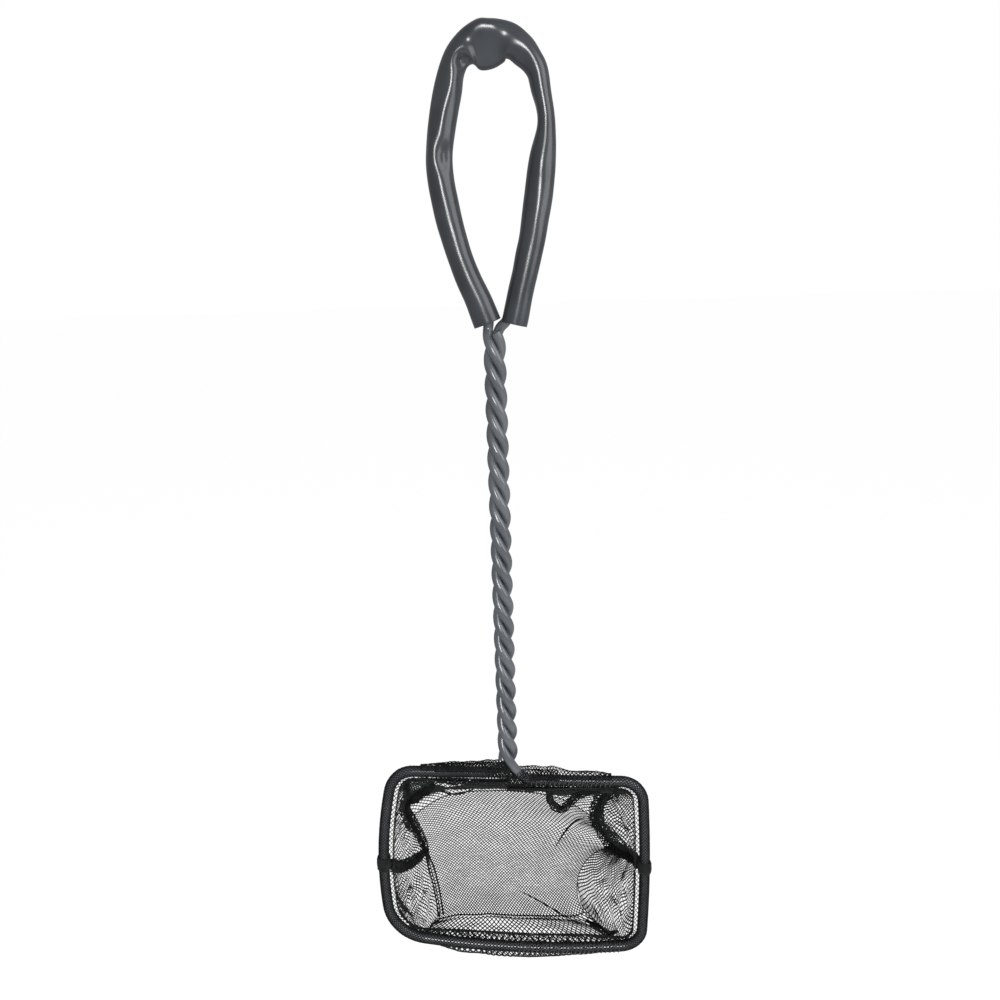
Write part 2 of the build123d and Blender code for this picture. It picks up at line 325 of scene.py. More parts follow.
def net_mesh(
    across: int,
    along: int,
    surface: Surface,
    strand: float,
    closed: bool = False,
    even: bool = False,
    bordered: bool = True,
) -> Mesh:
    """Knit diamonds of netting on a surface.

    Args:
        across: Diamonds in the direction of u.
        along: Diamonds in the direction of v.
        surface: The surface, for u and v from 0 to 1.
        strand: Thickness of a strand.
        closed: Whether u = 0 and u = 1 are one seam to weld.
        even: Whether strands keep their width at sharp corners, on a surface with none too sharp.
        bordered: Whether a strand runs along the netting's edge.

    Returns:
        The strands as a mesh, in millimetres.
    """
    mesh = unit_grid(across, along)
    squares = [edge for edge in mesh.edges if not edge.is_boundary]
    bmesh.ops.poke(mesh, faces=mesh.faces[:])
    bmesh.ops.dissolve_edges(mesh, edges=squares, use_verts=False, use_face_split=False)
    if not bordered:
        halves = [face for face in mesh.faces if any(edge.is_boundary for edge in face.edges)]
        bmesh.ops.delete(mesh, geom=halves, context="FACES")
    lay(mesh, surface, closed)
    bmesh.ops.wireframe(
        mesh,
        faces=mesh.faces[:],
        thickness=strand,
        offset=0.0,
        use_replace=True,
        use_boundary=True,
        use_even_offset=even,
    )
    return mesh


def capped(mesh: Mesh) -> Mesh:
    """Close a skin's open ends and turn its faces outwards."""
    bmesh.ops.holes_fill(mesh, edges=[edge for edge in mesh.edges if edge.is_boundary], sides=0)
    bmesh.ops.recalc_face_normals(mesh, faces=mesh.faces[:])
    return mesh


def tube_mesh(route: Route, radius: float, around: int, along: int) -> Mesh:
    """Sweep a round tube with closed ends along a route.

    Args:
        route: The tube's middle line.
        radius: Its radius.
        around: Faces round the tube.
        along: Rings along the tube.

    Returns:
        The tube's mesh, in millimetres.
    """

    def place(u: float, v: float) -> Vector:
        """Return the place on the tube's skin at u round it and v along it."""
        distance = v * route.length
        side = route.normal(distance)
        other = route.way(distance).cross(side)
        turn = math.tau * u
        return route.at(distance) + (side * math.cos(turn) + other * math.sin(turn)) * radius

    return capped(skin_mesh(around, along, place))


def winding(turns: int, per_turn: int, place: Surface, radius: float, around: int) -> Mesh:
    """Wind a thread.

    Args:
        turns: Whole turns of the thread.
        per_turn: Points on each turn.
        place: Place of the thread's middle at a share of its length and an angle.
        radius: The thread's radius.
        around: Faces round the thread.

    Returns:
        The thread's mesh, in millimetres.
    """
    steps = turns * per_turn
    points = [place(step / steps, math.tau * turns * (step / steps)) for step in range(steps + 1)]
    return tube_mesh(Route(points), radius, around, steps)


def joined(meshes: Sequence[Mesh]) -> Mesh:
    """Return the first mesh with the others joined into it, which are freed."""
    whole = meshes[0]
    for mesh in meshes[1:]:
        spare = bpy.data.meshes.new("spare")
        mesh.to_mesh(spare)
        mesh.free()
        whole.from_mesh(spare)
        bpy.data.meshes.remove(spare)
    return whole


class Nodes:
    """A small helper that adds and joins shader nodes."""

    def __init__(self, tree: bpy.types.NodeTree) -> None:
        """Keep the node tree, emptied."""
        self.tree = tree
        tree.nodes.clear()

    def add(self, kind: str, values: dict[str, object] | None = None, **settings: object) -> Node:
        """Add a node.

        Args:
            kind: The node's type, without its ShaderNode prefix.
            values: Constants for the node's own sockets, by name.
            settings: Attributes of the node.

        Returns:
            The node.
        """
        prefix = "" if kind.startswith("NodeGroup") else "ShaderNode"
        node = self.tree.nodes.new(prefix + kind)
        for key, value in settings.items():
            setattr(node, key, value)
        for key, value in (values or {}).items():
            node.inputs[key].default_value = value
        return node

    def join(self, source: Node, output: str, target: Node, entry: str | int) -> None:
        """Join an output of one node to an input of another."""
        self.tree.links.new(source.outputs[output], target.inputs[entry])


def cloudy_group() -> bpy.types.NodeTree:
    """Build the group for uneven colour: broad clouds mixed with a fine grain.

    Returns:
        The group, with outputs Grain and Tint.
    """
    tree = bpy.data.node_groups.new("cloudy_surface", "ShaderNodeTree")
    sockets = (
        ("Vector", "INPUT", "NodeSocketVector"),
        ("Broad Scale", "INPUT", "NodeSocketFloat"),
        ("Fine Scale", "INPUT", "NodeSocketFloat"),
        ("Low", "INPUT", "NodeSocketColor"),
        ("High", "INPUT", "NodeSocketColor"),
        ("Grain", "OUTPUT", "NodeSocketFloat"),
        ("Tint", "OUTPUT", "NodeSocketColor"),
    )
    for label, way, kind in sockets:
        tree.interface.new_socket(name=label, in_out=way, socket_type=kind)
    nodes = Nodes(tree)
    entry = nodes.add("NodeGroupInput")
    leave = nodes.add("NodeGroupOutput")
    broad = nodes.add("TexNoise", {"Detail": 3.0})
    fine = nodes.add("TexNoise", {"Detail": 2.0})
    spread = nodes.add("MapRange", {"From Min": 0.32, "From Max": 0.68}, interpolation_type="SMOOTHSTEP")
    blend = nodes.add("Mix", data_type="RGBA")
    for texture, scale in ((broad, "Broad Scale"), (fine, "Fine Scale")):
        nodes.join(entry, "Vector", texture, "Vector")
        nodes.join(entry, scale, texture, "Scale")
    nodes.join(broad, "Fac", spread, "Value")
    nodes.join(spread, "Result", blend, "Factor")
    nodes.join(entry, "Low", blend, "A")
    nodes.join(entry, "High", blend, "B")
    nodes.join(fine, "Fac", leave, "Grain")
    nodes.join(blend, "Result", leave, "Tint")
    return tree


@dataclass(frozen=True)
class Cover:
    """A material with the record's slot that it belongs to."""

    material: bpy.types.Material
    slot: Slot


@dataclass(frozen=True)
class Finish:
    """A surface finish: a tint that drifts between two colours, with its own roughness and fine bump.

    The roughness runs from smoothest to roughest, and the scales are those of the clouds and the grain.
    """

    name: str
    slot: Slot
    low: Colour
    high: Colour
    roughness: Span
    scales: Span
    bump: float
    specular: float = 0.5
    metallic: float = 0.0
    sheen: float = 0.0
    relief: float = 0.0002

    def cover(self, cloudy: bpy.types.NodeTree) -> Cover:
        """Build the finish's material.

        Args:
            cloudy: The shared group for uneven colour.

        Returns:
            The material with its slot.
        """
        material = bpy.data.materials.new(self.name)
        material.use_nodes = True
        nodes = Nodes(material.node_tree)
        output = nodes.add("OutputMaterial")
        gloss = {"Specular IOR Level": self.specular, "Metallic": self.metallic, "Sheen Weight": self.sheen}
        shader = nodes.add("BsdfPrincipled", gloss)
        where = nodes.add("TexCoord")
        tints = {"Low": (*self.low, 1.0), "High": (*self.high, 1.0)}
        sizes = {"Broad Scale": self.scales[0], "Fine Scale": self.scales[1]}
        surface = nodes.add("Group", tints | sizes, node_tree=cloudy)
        rough = nodes.add("MapRange", {"To Min": self.roughness[0], "To Max": self.roughness[1]})
        relief = nodes.add("Bump", {"Strength": self.bump, "Distance": self.relief})
        nodes.join(where, "Object", surface, "Vector")
        nodes.join(surface, "Tint", shader, "Base Color")
        nodes.join(surface, "Grain", rough, "Value")
        nodes.join(rough, "Result", shader, "Roughness")
        nodes.join(surface, "Grain", relief, "Height")
        nodes.join(relief, "Normal", shader, "Normal")
        nodes.join(shader, "BSDF", output, "Surface")
        return Cover(material, self.slot)


class Finishes:
    """All finishes of the net, built once."""

    def __init__(self) -> None:
        """Build the materials."""
        cloudy = cloudy_group()
        self.steel = Finish(
            "drawn_steel", Slot.STEEL, (0.42, 0.42, 0.43), (0.56, 0.56, 0.57),
            (0.3, 0.5), (90.0, 900.0), 0.2, metallic=1.0,
        ).cover(cloudy)
        self.coating = Finish(
            "grey_vinyl_coating", Slot.GREY_VINYL, (0.072, 0.080, 0.091), (0.102, 0.112, 0.126),
            (0.24, 0.32), (60.0, 500.0), 0.03, specular=0.75,
        ).cover(cloudy)
        self.sleeve = Finish(
            "dark_vinyl_sleeve", Slot.DARK_VINYL, (0.026, 0.029, 0.034), (0.042, 0.047, 0.054),
            (0.20, 0.28), (55.0, 260.0), 0.02,
        ).cover(cloudy)
        self.netting = Finish(
            "black_nylon_netting", Slot.NETTING, (0.006, 0.007, 0.007), (0.017, 0.018, 0.019),
            (0.5, 0.7), (160.0, 2400.0), 0.3, specular=0.18,
        ).cover(cloudy)
        self.mesh = Finish(
            "black_nylon_mesh", Slot.NETTING, (0.010, 0.015, 0.013), (0.024, 0.034, 0.030),
            (0.5, 0.7), (160.0, 2400.0), 0.3, specular=0.18,
        ).cover(cloudy)
        self.lock_thread = Finish(
            "glossy_lock_thread", Slot.THREAD, (0.020, 0.021, 0.024), (0.040, 0.042, 0.047),
            (0.16, 0.24), (300.0, 2000.0), 0.05, specular=0.7,
        ).cover(cloudy)
        self.thread = Finish(
            "black_sewing_thread", Slot.THREAD, (0.005, 0.006, 0.006), (0.014, 0.016, 0.015),
            (0.55, 0.75), (300.0, 3000.0), 0.4, specular=0.15, sheen=0.05,
        ).cover(cloudy)


def linked(name: str, mesh: Mesh, material: bpy.types.Material) -> Piece:
    """Put a mesh, which is freed, into the scene as an object."""
    data = bpy.data.meshes.new(name)
    mesh.to_mesh(data)
    mesh.free()
    data.materials.append(material)
    piece = bpy.data.objects.new(name, data)
    bpy.context.scene.collection.objects.link(piece)
    return piece


def finished(name: str, mesh: Mesh, cover: Cover) -> Piece:
    """Scale a mesh to metres and make it a named piece.

    Args:
        name: The piece's name.
        mesh: Its mesh in millimetres, which is freed.
        cover: Its material and slot.

    Returns:
        The new object.
    """
    bmesh.ops.scale(mesh, vec=(MM, MM, MM), verts=mesh.verts[:])
    for face in mesh.faces:
        face.smooth = True
    piece = linked(name, mesh, cover.material)
    LOG.info("made %s: %d faces", name, len(piece.data.polygons))
    return piece


def seat(piece: Piece, node: str = "") -> None:
    """Let a piece ride the frame, in place of a CAD node if one is named."""
    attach(piece, Body.FRAME.value)
    if node:
        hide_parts(node)


@dataclass
class WireWork:
    """The bent wire: CAD nodes whose shape is right, given their finishes."""

    finishes: Finishes
    runs: tuple[str, ...] = ("hoop", "right_strand", "left_strand", "tail_strand")

    def dress(self) -> None:
        """Give the steel and its coating their materials."""
        for run in self.runs:
            for part, cover in (("wire", self.finishes.steel), ("coating", self.finishes.coating)):
                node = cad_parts[f"{run}_{part}"]
                node.data.materials.clear()
                node.data.materials.append(cover.material)
                LOG.info("dressed %s", node.name)


@dataclass(frozen=True)
class Dent:
    """A hollow or a swelling of the soft sleeve: where it is, how deep, and how far it reaches."""

    x: float
    z: float
    angle: float
    depth: float
    along: float
    round: float


@dataclass
class GripSleeve:
    """The soft vinyl sleeve over the hanging loop, squeezed flat at its crown and dented by use.

    A station is x and z of the middle, then half the width in the loop's plane. The spans are half widths
    over which the sleeve goes flat, is pinched narrow, or takes the crown's lean.
    """

    finishes: Finishes
    wall: float = 0.8
    girth_radius: float = 4.5
    least_depth: float = 3.1
    flat_span: Span = (4.4, 7.2)
    pinch_span: Span = (2.9, 4.2)
    pinch_loss: float = 0.5
    crown_span: Span = (4.8, 6.8)
    crown_lean: float = 27.0
    crown_squareness: float = 0.38
    way_step: float = 1.2
    rim_crease: float = 0.7
    outer_crease: float = 0.5
    wobble: float = 0.012
    wobble_grain: float = 7.0
    coat_radius: float = 1.745
    wire_radius: float = 1.195
    wire_start: Place = (-2.9, 0.0, -81.6)
    wire_shift: float = 1.45
    wire_rings: int = 200
    hollow_height: float = -19.4
    hollow_reach: float = 8.0
    stations: tuple[Place, ...] = (
        (-2.1, -83.9, 4.85), (-4.9, -76.2, 4.6), (-8.2, -68.6, 4.35), (-10.7, -61.4, 4.25),
        (-12.3, -55.6, 4.35), (-13.7, -49.9, 4.45), (-14.7, -44.4, 4.47), (-15.6, -38.8, 4.43),
        (-16.0, -33.3, 4.44), (-15.7, -27.9, 4.38), (-14.6, -21.1, 4.56), (-13.5, -15.8, 4.65),
        (-12.2, -10.5, 4.63), (-10.9, -5.5, 4.25), (-9.0, -1.5, 4.3), (-6.5, 0.9, 4.9),
        (-4.0, 1.9, 6.15), (-1.7, 2.1, 7.3), (1.1, 2.3, 7.3), (4.5, 2.9, 6.4),
        (7.8, 2.9, 5.3), (10.5, 1.4, 4.73), (12.4, -0.4, 4.57), (14.7, -3.0, 3.9),
        (16.1, -5.2, 3.65), (16.8, -7.4, 3.45), (17.25, -11.5, 3.5), (17.6, -16.8, 3.95),
        (17.75, -19.5, 4.1), (17.85, -22.1, 4.2), (18.0, -27.5, 4.17), (17.3, -34.4, 4.58),
        (16.6, -39.8, 4.74), (15.8, -45.3, 4.74), (14.8, -50.8, 4.59), (13.8, -56.5, 4.47),
        (12.4, -62.2, 4.48), (11.0, -68.0, 4.36), (9.4, -74.1, 4.37), (7.7, -81.7, 4.49),
        (7.0, -84.4, 4.52),
    )
    dents: tuple[Dent, ...] = (
        Dent(-8.3, -1.6, 128.0, 2.1, 2.6, 30.0),
        Dent(-10.9, -2.2, 82.0, -0.7, 4.0, 20.0),
        Dent(-11.7, -8.2, 108.0, -0.6, 6.0, 20.0),
        Dent(-14.2, -19.6, 88.0, -0.4, 7.0, 20.0),
        Dent(-15.6, -28.8, 60.0, -0.6, 5.5, 22.0),
        Dent(-15.8, -30.8, 122.0, 1.5, 4.2, 32.0),
        Dent(-15.2, -40.0, 84.0, -0.3, 6.0, 24.0),
        Dent(-13.0, -12.0, 50.0, 0.5, 8.0, 30.0),
        Dent(12.3, -2.1, 110.0, 0.5, 3.6, 30.0),
        Dent(17.75, -19.3, 180.0, 3.2, 6.5, 75.0),
        Dent(17.3, -34.0, 100.0, -0.3, 5.0, 24.0),
        Dent(15.4, -48.0, 86.0, -0.3, 7.0, 22.0),
    )
    around: int = 40
    along: int = 230

    def half_width(self, route: Route) -> Callable[[float], float]:
        """Return the half width in the loop's plane as a function of the distance along the middle line."""
        detail = (len(route.points) - 1) // (len(self.stations) - 1)
        stops = [route.marks[index * detail] for index in range(len(self.stations))]
        widths = [station[2] for station in self.stations]
        slopes = []
        for index in range(len(stops)):
            before = max(index - 1, 0)
            after = min(index + 1, len(stops) - 1)
            slopes.append((widths[after] - widths[before]) / (stops[after] - stops[before]))

        def width(distance: float) -> float:
            """Return the half width at a distance."""
            index = min(max(bisect_right(stops, distance) - 1, 0), len(stops) - 2)
            span = stops[index + 1] - stops[index]
            share = min(max((distance - stops[index]) / span, 0.0), 1.0)
            rest = 1.0 - share
            level = widths[index] * (1.0 + 2.0 * share) * rest**2
            level += widths[index + 1] * (3.0 - 2.0 * share) * share**2
            return level + span * (slopes[index] * share * rest**2 - slopes[index + 1] * share**2 * rest)

        return width

    def depth(self, across: float) -> float:
        """Return the half depth that goes with a half width, as the sleeve's girth stays the same."""
        flat = (self.girth_radius - self.least_depth) * ease(across, *self.flat_span)
        return self.girth_radius - flat - self.pinch_loss * (1.0 - ease(across, *self.pinch_span))

    def build(self) -> None:
        """Sculpt the sleeve and put it in place of its CAD node."""
        route = Route.smooth([(x, 0.0, z) for x, z, _ in self.stations])
        width = self.half_width(route)
        marks = [route.nearest((dent.x, 0.0, dent.z)) for dent in self.dents]

        def place(u: float, v: float) -> Vector:
            """Return the place on the sleeve's skin at u round it and v along it."""
            distance = v * route.length
            across = width(distance)
            turn = math.tau * u
            outward = route.way(distance, self.way_step).cross(BACK)
            crown = ease(across, *self.crown_span)
            lean = math.radians(self.crown_lean) * crown
            square = 1.0 - self.crown_squareness * crown
            level = math.copysign(abs(math.cos(turn)) ** square, math.cos(turn))
            bulge = math.copysign(abs(math.sin(turn)) ** square, math.sin(turn))
            rise = outward * math.cos(lean) - BACK * math.sin(lean)
            front = -BACK * math.cos(lean) - outward * math.sin(lean)
            swell = 1.0
            for dent, mark in zip(self.dents, marks):
                away = (math.degrees(turn) - dent.angle + 180.0) % 360.0 - 180.0
                reach = hill(distance, mark, dent.along) * hill(away, 0.0, dent.round)
                swell -= dent.depth / self.girth_radius * reach
            spot = rise * (across * level) + front * (self.depth(across) * bulge)
            return route.at(distance) + spot * (
                swell * (1.0 + self.wobble * ripple(distance, self.wobble_grain, turn))
            )

        mesh = skin_mesh(self.around, self.along, place)
        bmesh.ops.recalc_face_normals(mesh, faces=mesh.faces[:])
        sleeve = finished("grip_sleeve_skin", mesh, self.finishes.sleeve)
        thick = sleeve.modifiers.new("wall", "SOLIDIFY")
        thick.thickness = self.wall * MM
        thick.offset = -1.0
        thick.edge_crease_rim = self.rim_crease
        thick.edge_crease_outer = self.outer_crease
        smooth = sleeve.modifiers.new("soft", "SUBSURF")
        smooth.levels = 1
        smooth.render_levels = 1
        seat(sleeve, "grip_sleeve")
        self.lead_wire()

    def lead_wire(self) -> None:
        """Lead the coated wire through the squeezed sleeve, clear of its hollows."""
        places = [self.wire_start]
        for x, z, _ in self.stations[1:-1]:
            shift = self.wire_shift * hill(z, self.hollow_height, self.hollow_reach) if x > 0.0 else 0.0
            places.append((x + shift, 0.0, z))
        route = Route.smooth(places)
        coat = tube_mesh(route, self.coat_radius, 16, self.wire_rings)
        core = tube_mesh(route, self.wire_radius, 12, self.wire_rings)
        seat(finished("loop_wire_coat", coat, self.finishes.coating), "loop_coating")
        seat(finished("loop_wire_core", core, self.finishes.steel), "loop_wire")


@dataclass
class Hoop:
    """The bent hoop that carries the net: its middle line, worked out from the part's own driving sizes."""

    shaft_foot: float = -253.694
    hoop_drop: float = 7.2
    hoop_height: float = 79.9
    top_width: float = 101.1
    top_offset: float = 3.2
    top_fall: float = 8.1
    bottom_width: float = 107.6
    bottom_offset: float = 0.4
    bottom_fall: float = 8.8
    corner_cut: float = 9.0
    low_left_cut: float = 16.0
    left_bow: float = 2.0
    right_bow: float = 0.8
    bottom_bow: float = 2.5
    neck_reach: float = 11.0
    neck_step: float = 1.3
    neck_lead: float = 11.4
    wire_radius: float = 1.75
    left_seam_drop: float = 6.5
    flap_width: float = 3.9
    low_flap_extra: float = 2.5
    low_flap_rise: Span = (-12.0, 26.0)
    low_flap_fall: Span = (-22.0, 8.0)
    route: Route = field(init=False)
    stops: list[float] = field(init=False)

    def __post_init__(self) -> None:
        """Work out the middle line and the distances of its knots."""
        self.route, stops = Route.arcs(self.knots())
        self.stops = stops[1:-1]

    def corner(self, side: int, offset: float, width: float, middle: float, fall: float) -> Vector:
        """Return the place where two bars' straight lines would meet: side is -1 left, +1 right."""
        return Vector((offset + side * width / 2, 0.0, middle - side * fall / 2))

    def bar(self, start: Vector, end: Vector, start_cut: float, end_cut: float, bow: float) -> list[Knot]:
        """Return the two knots of a bar that bows outwards, cut short of its corners."""
        way = (end - start).normalized()
        length = (end - start).length - start_cut - end_cut
        bend = math.degrees(2.0 * math.atan(2.0 * bow / length))
        return [(start + way * start_cut, turned(way, -bend)), (end - way * end_cut, turned(way, bend))]

    def knots(self) -> list[Knot]:
        """Return the hoop's knots, from the shaft to the left and round, led on up to the shaft."""
        middle = self.shaft_foot - self.hoop_drop
        top = middle - self.top_fall / self.top_width * self.top_offset
        low = top - self.hoop_height
        top_left = self.corner(-1, self.top_offset, self.top_width, top, self.top_fall)
        top_right = self.corner(1, self.top_offset, self.top_width, top, self.top_fall)
        low_left = self.corner(-1, self.bottom_offset, self.bottom_width, low, self.bottom_fall)
        low_right = self.corner(1, self.bottom_offset, self.bottom_width, low, self.bottom_fall)
        slope = (top_right - top_left).normalized()
        left_neck = Vector((0.0, 0.0, middle + self.neck_step)) - slope * self.neck_reach
        right_neck = Vector((0.0, 0.0, middle - self.neck_step)) + slope * self.neck_reach
        left_way = (top_left - left_neck).normalized()
        right_way = (right_neck - top_right).normalized()
        return [
            (left_neck - left_way * self.neck_lead, left_way),
            (left_neck, left_way),
            (top_left - left_way * self.corner_cut, left_way),
            *self.bar(top_left, low_left, self.corner_cut, self.low_left_cut, self.left_bow),
            *self.bar(low_left, low_right, self.low_left_cut, self.corner_cut, self.bottom_bow),
            *self.bar(low_right, top_right, self.corner_cut, self.corner_cut, self.right_bow),
            (top_right + right_way * self.corner_cut, right_way),
            (right_neck, right_way),
            (right_neck + right_way * self.neck_lead, right_way),
        ]

    def inward(self, distance: float) -> Vector:
        """Return the direction towards the middle of the mouth."""
        return self.route.way(distance).cross(BACK).normalized()

    def inset(self, distance: float, amount: float, back: float) -> Vector:
        """Return a place beside the wire, an amount towards the mouth's middle and some way back."""
        return self.route.at(distance) + self.inward(distance) * amount + BACK * back

    def ring(self, distance: float, turn: float, radius: float, wide: float = 1.0) -> Vector:
        """Return a place round the wire: turn is 0 towards the mouth's middle, where wide stretches it."""
        side = self.inward(distance) * math.cos(turn) * wide + BACK * math.sin(turn)
        return self.route.at(distance) + side * radius

    def flap(self, distance: float) -> float:
        """Return how far the stitch line stands inside the wire: more along the bottom bar."""
        start, end = self.stops[4], self.stops[5]
        rise = ease(distance, start + self.low_flap_rise[0], start + self.low_flap_rise[1])
        fall = ease(distance, end + self.low_flap_fall[0], end + self.low_flap_fall[1])
        return self.flap_width + self.low_flap_extra * rise * (1.0 - fall)

    def halfway(self, knot: int) -> float:
        """Return the distance halfway between a knot and the next one."""
        return (self.stops[knot] + self.stops[knot + 1]) / 2.0

    def levels(self, side: Side) -> tuple[float, float, float]:
        """Return the distances of a side's upper corner, of its seam at the hem and of its lower corner."""
        if side is Side.LEFT:
            return self.halfway(1), self.halfway(2) + self.left_seam_drop, self.halfway(3)
        return self.halfway(7), self.halfway(6), self.halfway(5)


@dataclass(frozen=True)
class Bunch:
    """A stretch of hem that is pushed together on the wire: its middle in x, and how far it stands off."""

    middle: float
    reach: float
    outward: float
    inward: float
    crowding: float


@dataclass
class Hem:
    """The netting's edge turned round the hoop, with its flap, its stitches and the two seam bands.

    A loose layer is open in front: its arc is the angle it covers, and its start lies that far in front of
    the mouth's middle.
    """

    hoop: Hoop
    finishes: Finishes
    cell: float = 1.25
    strand: float = 0.44
    skin_gap: float = 0.24
    crumple_grain: float = 1.3
    crumple: float = 0.04
    around: int = 10
    loose_cell: float = 1.35
    loose_strand: float = 0.42
    loose_gap: float = 0.44
    loose_crumple: float = 0.16
    loose_arc: float = 280.0
    loose_start: float = -50.0
    inner_spread: float = 0.62
    inner_twist: float = 9.0
    bunch_base: float = 0.08
    bunch_side: float = 0.5
    ripple_mean: float = 0.85
    ripple_depth: float = 0.22
    ripple_grain: float = 3.6
    ripple_tightness: float = 1.5
    flap_cell: float = 1.9
    flap_strand: float = 0.36
    flap_start: float = 1.8
    flap_overlap: float = 1.3
    flap_back: float = 0.1
    flap_sag: float = 0.5
    flap_sag_start: float = 0.3
    flap_wave: float = 0.4
    flap_wave_grain: float = 4.0
    flap_crumple: float = 0.1
    flap_grain: float = 1.4
    stitch_pitch: float = 2.6
    stitch_radius: float = 0.2
    stitch_front: float = 0.3
    stitch_dive: float = 0.36
    stitch_stray: float = 0.25
    stitch_grain: float = 3.0
    lock_pitch: float = 1.8
    lock_radius: float = 0.24
    lock_gap: float = 0.56
    lock_height: float = -345.0
    lock_length: float = 44.0
    upper_lock: Span = (42.0, 9.0)
    left_gathers: Span = (24.0, 18.0)
    right_gathers: float = 4.0
    right_inner_gathers: float = 20.0
    band_pitch: float = 0.55
    band_radius: float = 2.25
    band_core_radius: float = 2.2
    band_swell: float = 0.2
    band_core_swell: float = 0.18
    band_unevenness: float = 0.12
    band_rate: float = 9.0
    band_width: float = 1.08
    band_thread: float = 0.36
    left_band: float = 2.8
    right_band: float = 2.6
    wound_points: int = 14
    bunches: tuple[Bunch, ...] = (
        Bunch(-20.0, 12.0, 1.9, 3.4, 0.7),
        Bunch(-6.0, 7.0, 2.4, 3.0, 0.8),
        Bunch(7.0, 8.0, 3.9, 2.2, 0.8),
        Bunch(19.0, 7.0, 2.6, 1.4, 0.5),
        Bunch(33.0, 8.0, 1.7, 0.4, 0.0),
        Bunch(-41.0, 4.0, 0.5, 1.2, 0.3),
        Bunch(47.0, 4.0, 0.8, 0.8, 0.3),
    )

    def is_top(self, distance: float) -> bool:
        """Return whether a distance lies on the top bar."""
        return distance < self.hoop.stops[1] or distance > self.hoop.stops[8]

    def slack(self, distance: float, turn: float) -> float:
        """Return how far the loose hem stands off the wire on the top bar.

        Args:
            distance: Place along the hoop.
            turn: Angle round the wire, 0 towards the mouth's middle.

        Returns:
            The extra radius.
        """
        x = self.hoop.route.at(distance).x
        wave = ripple(distance, self.ripple_grain, turn, self.ripple_tightness)
        share = self.ripple_mean + self.ripple_depth * wave
        towards = max(math.cos(turn), 0.0)
        away = max(-math.cos(turn), 0.0)
        total = self.bunch_base
        for bunch in self.bunches:
            size = bunch.inward * towards + bunch.outward * away + self.bunch_side * abs(math.sin(turn))
            total += size * hill(x, bunch.middle, bunch.reach) * share
        return total

    def spacing(self, start: float, end: float, steps: int = 800) -> Callable[[float], float]:
        """Return the distance along the hoop at a share of the rows, which crowd where the hem is bunched.

        Args:
            start: Distance of the first row.
            end: Distance of the last row.
            steps: Places at which the crowding is measured.

        Returns:
            The function from the share to the distance.
        """
        span = (end - start) / steps
        sums = [0.0]
        for step in range(steps):
            distance = start + span * (step + 0.5)
            weight = 1.0
            if self.is_top(distance):
                x = self.hoop.route.at(distance).x
                weight += sum(b.crowding * hill(x, b.middle, b.reach) for b in self.bunches)
            sums.append(sums[-1] + weight)

        def place(share: float) -> float:
            """Return the distance at a share of the rows."""
            goal = sums[-1] * min(max(share, 0.0), 1.0)
            index = min(bisect_right(sums, goal) - 1, steps - 1)
            rest = (goal - sums[index]) / (sums[index + 1] - sums[index])
            return start + span * (index + rest)

        return place

    def casing(self, start: float, end: float) -> Mesh:
        """Knit the layer of netting that lies close round a stretch of the wire."""
        row = self.spacing(start, end)

        def place(u: float, v: float) -> Vector:
            """Return the place at u round the wire and v along the hoop."""
            spot = self.hoop.ring(row(v), math.tau * u, self.hoop.wire_radius + self.skin_gap)
            return spot + wander(spot, self.crumple_grain) * self.crumple

        return net_mesh(self.around, int((end - start) / self.cell), place, self.strand, closed=True)

    def loose_layer(self, start: float, end: float, spread: float = 1.0, twist: float = 0.0) -> Mesh:
        """Knit one layer of gathered netting over a stretch of the hem.

        Args:
            start: Distance at which the layer starts.
            end: Distance at which it ends.
            spread: How much of the hem's slack the layer takes up.
            twist: Angle in degrees by which the layer is turned.

        Returns:
            The layer's mesh.
        """
        row = self.spacing(start, end)

        def place(u: float, v: float) -> Vector:
            """Return the place at u round the wire and v along the hoop."""
            distance = row(v)
            turn = math.radians(self.loose_arc * u + self.loose_start + twist)
            radius = self.hoop.wire_radius + self.loose_gap + spread * self.slack(distance, turn)
            spot = self.hoop.ring(distance, turn, radius)
            return spot + wander(spot, self.crumple_grain) * self.loose_crumple

        return net_mesh(self.around, int((end - start) / self.loose_cell), place, self.loose_strand)

    def flap_layer(self) -> Mesh:
        """Knit the flap between the wire and the stitch line."""
        length = self.hoop.route.length
        row = self.spacing(0.0, length)

        def place(u: float, v: float) -> Vector:
            """Return the place at u across the flap and v along the hoop."""
            distance = row(v)
            reach = self.flap_start + (self.hoop.flap(distance) - self.flap_overlap) * u
            drop = self.slack(distance, 0.0) - self.flap_sag_start if self.is_top(distance) else 0.0
            spot = self.hoop.inset(distance, reach + self.flap_sag * max(drop, 0.0), self.flap_back)
            wave = self.flap_wave * noise.noise(Vector((distance / self.flap_wave_grain, u, 0.0)))
            return spot + BACK * wave + wander(spot, self.flap_grain) * self.flap_crumple

        return net_mesh(2, int(length / self.flap_cell), place, self.flap_strand)

    def running_stitch(self) -> Mesh:
        """Sew the running stitch that dives in and out of the flap."""
        length = self.hoop.route.length

        def place(share: float, turn: float) -> Vector:
            """Return the thread's place at a share of the hoop."""
            distance = length * share
            back = -self.stitch_front - self.stitch_dive * math.cos(turn)
            spot = self.hoop.inset(distance, self.hoop.flap(distance), back)
            return spot + wander(spot, self.stitch_grain) * self.stitch_stray

        return winding(int(length / self.stitch_pitch), 6, place, self.stitch_radius, 6)

    def lock_stitch(self, start: float, end: float) -> Mesh:
        """Wind the glossy thread that locks the hem round a stretch of the wire."""
        radius = self.hoop.wire_radius + self.lock_gap

        def place(share: float, turn: float) -> Vector:
            """Return the thread's place at a share of the stretch and an angle."""
            return self.hoop.ring(start + (end - start) * share, turn, radius)

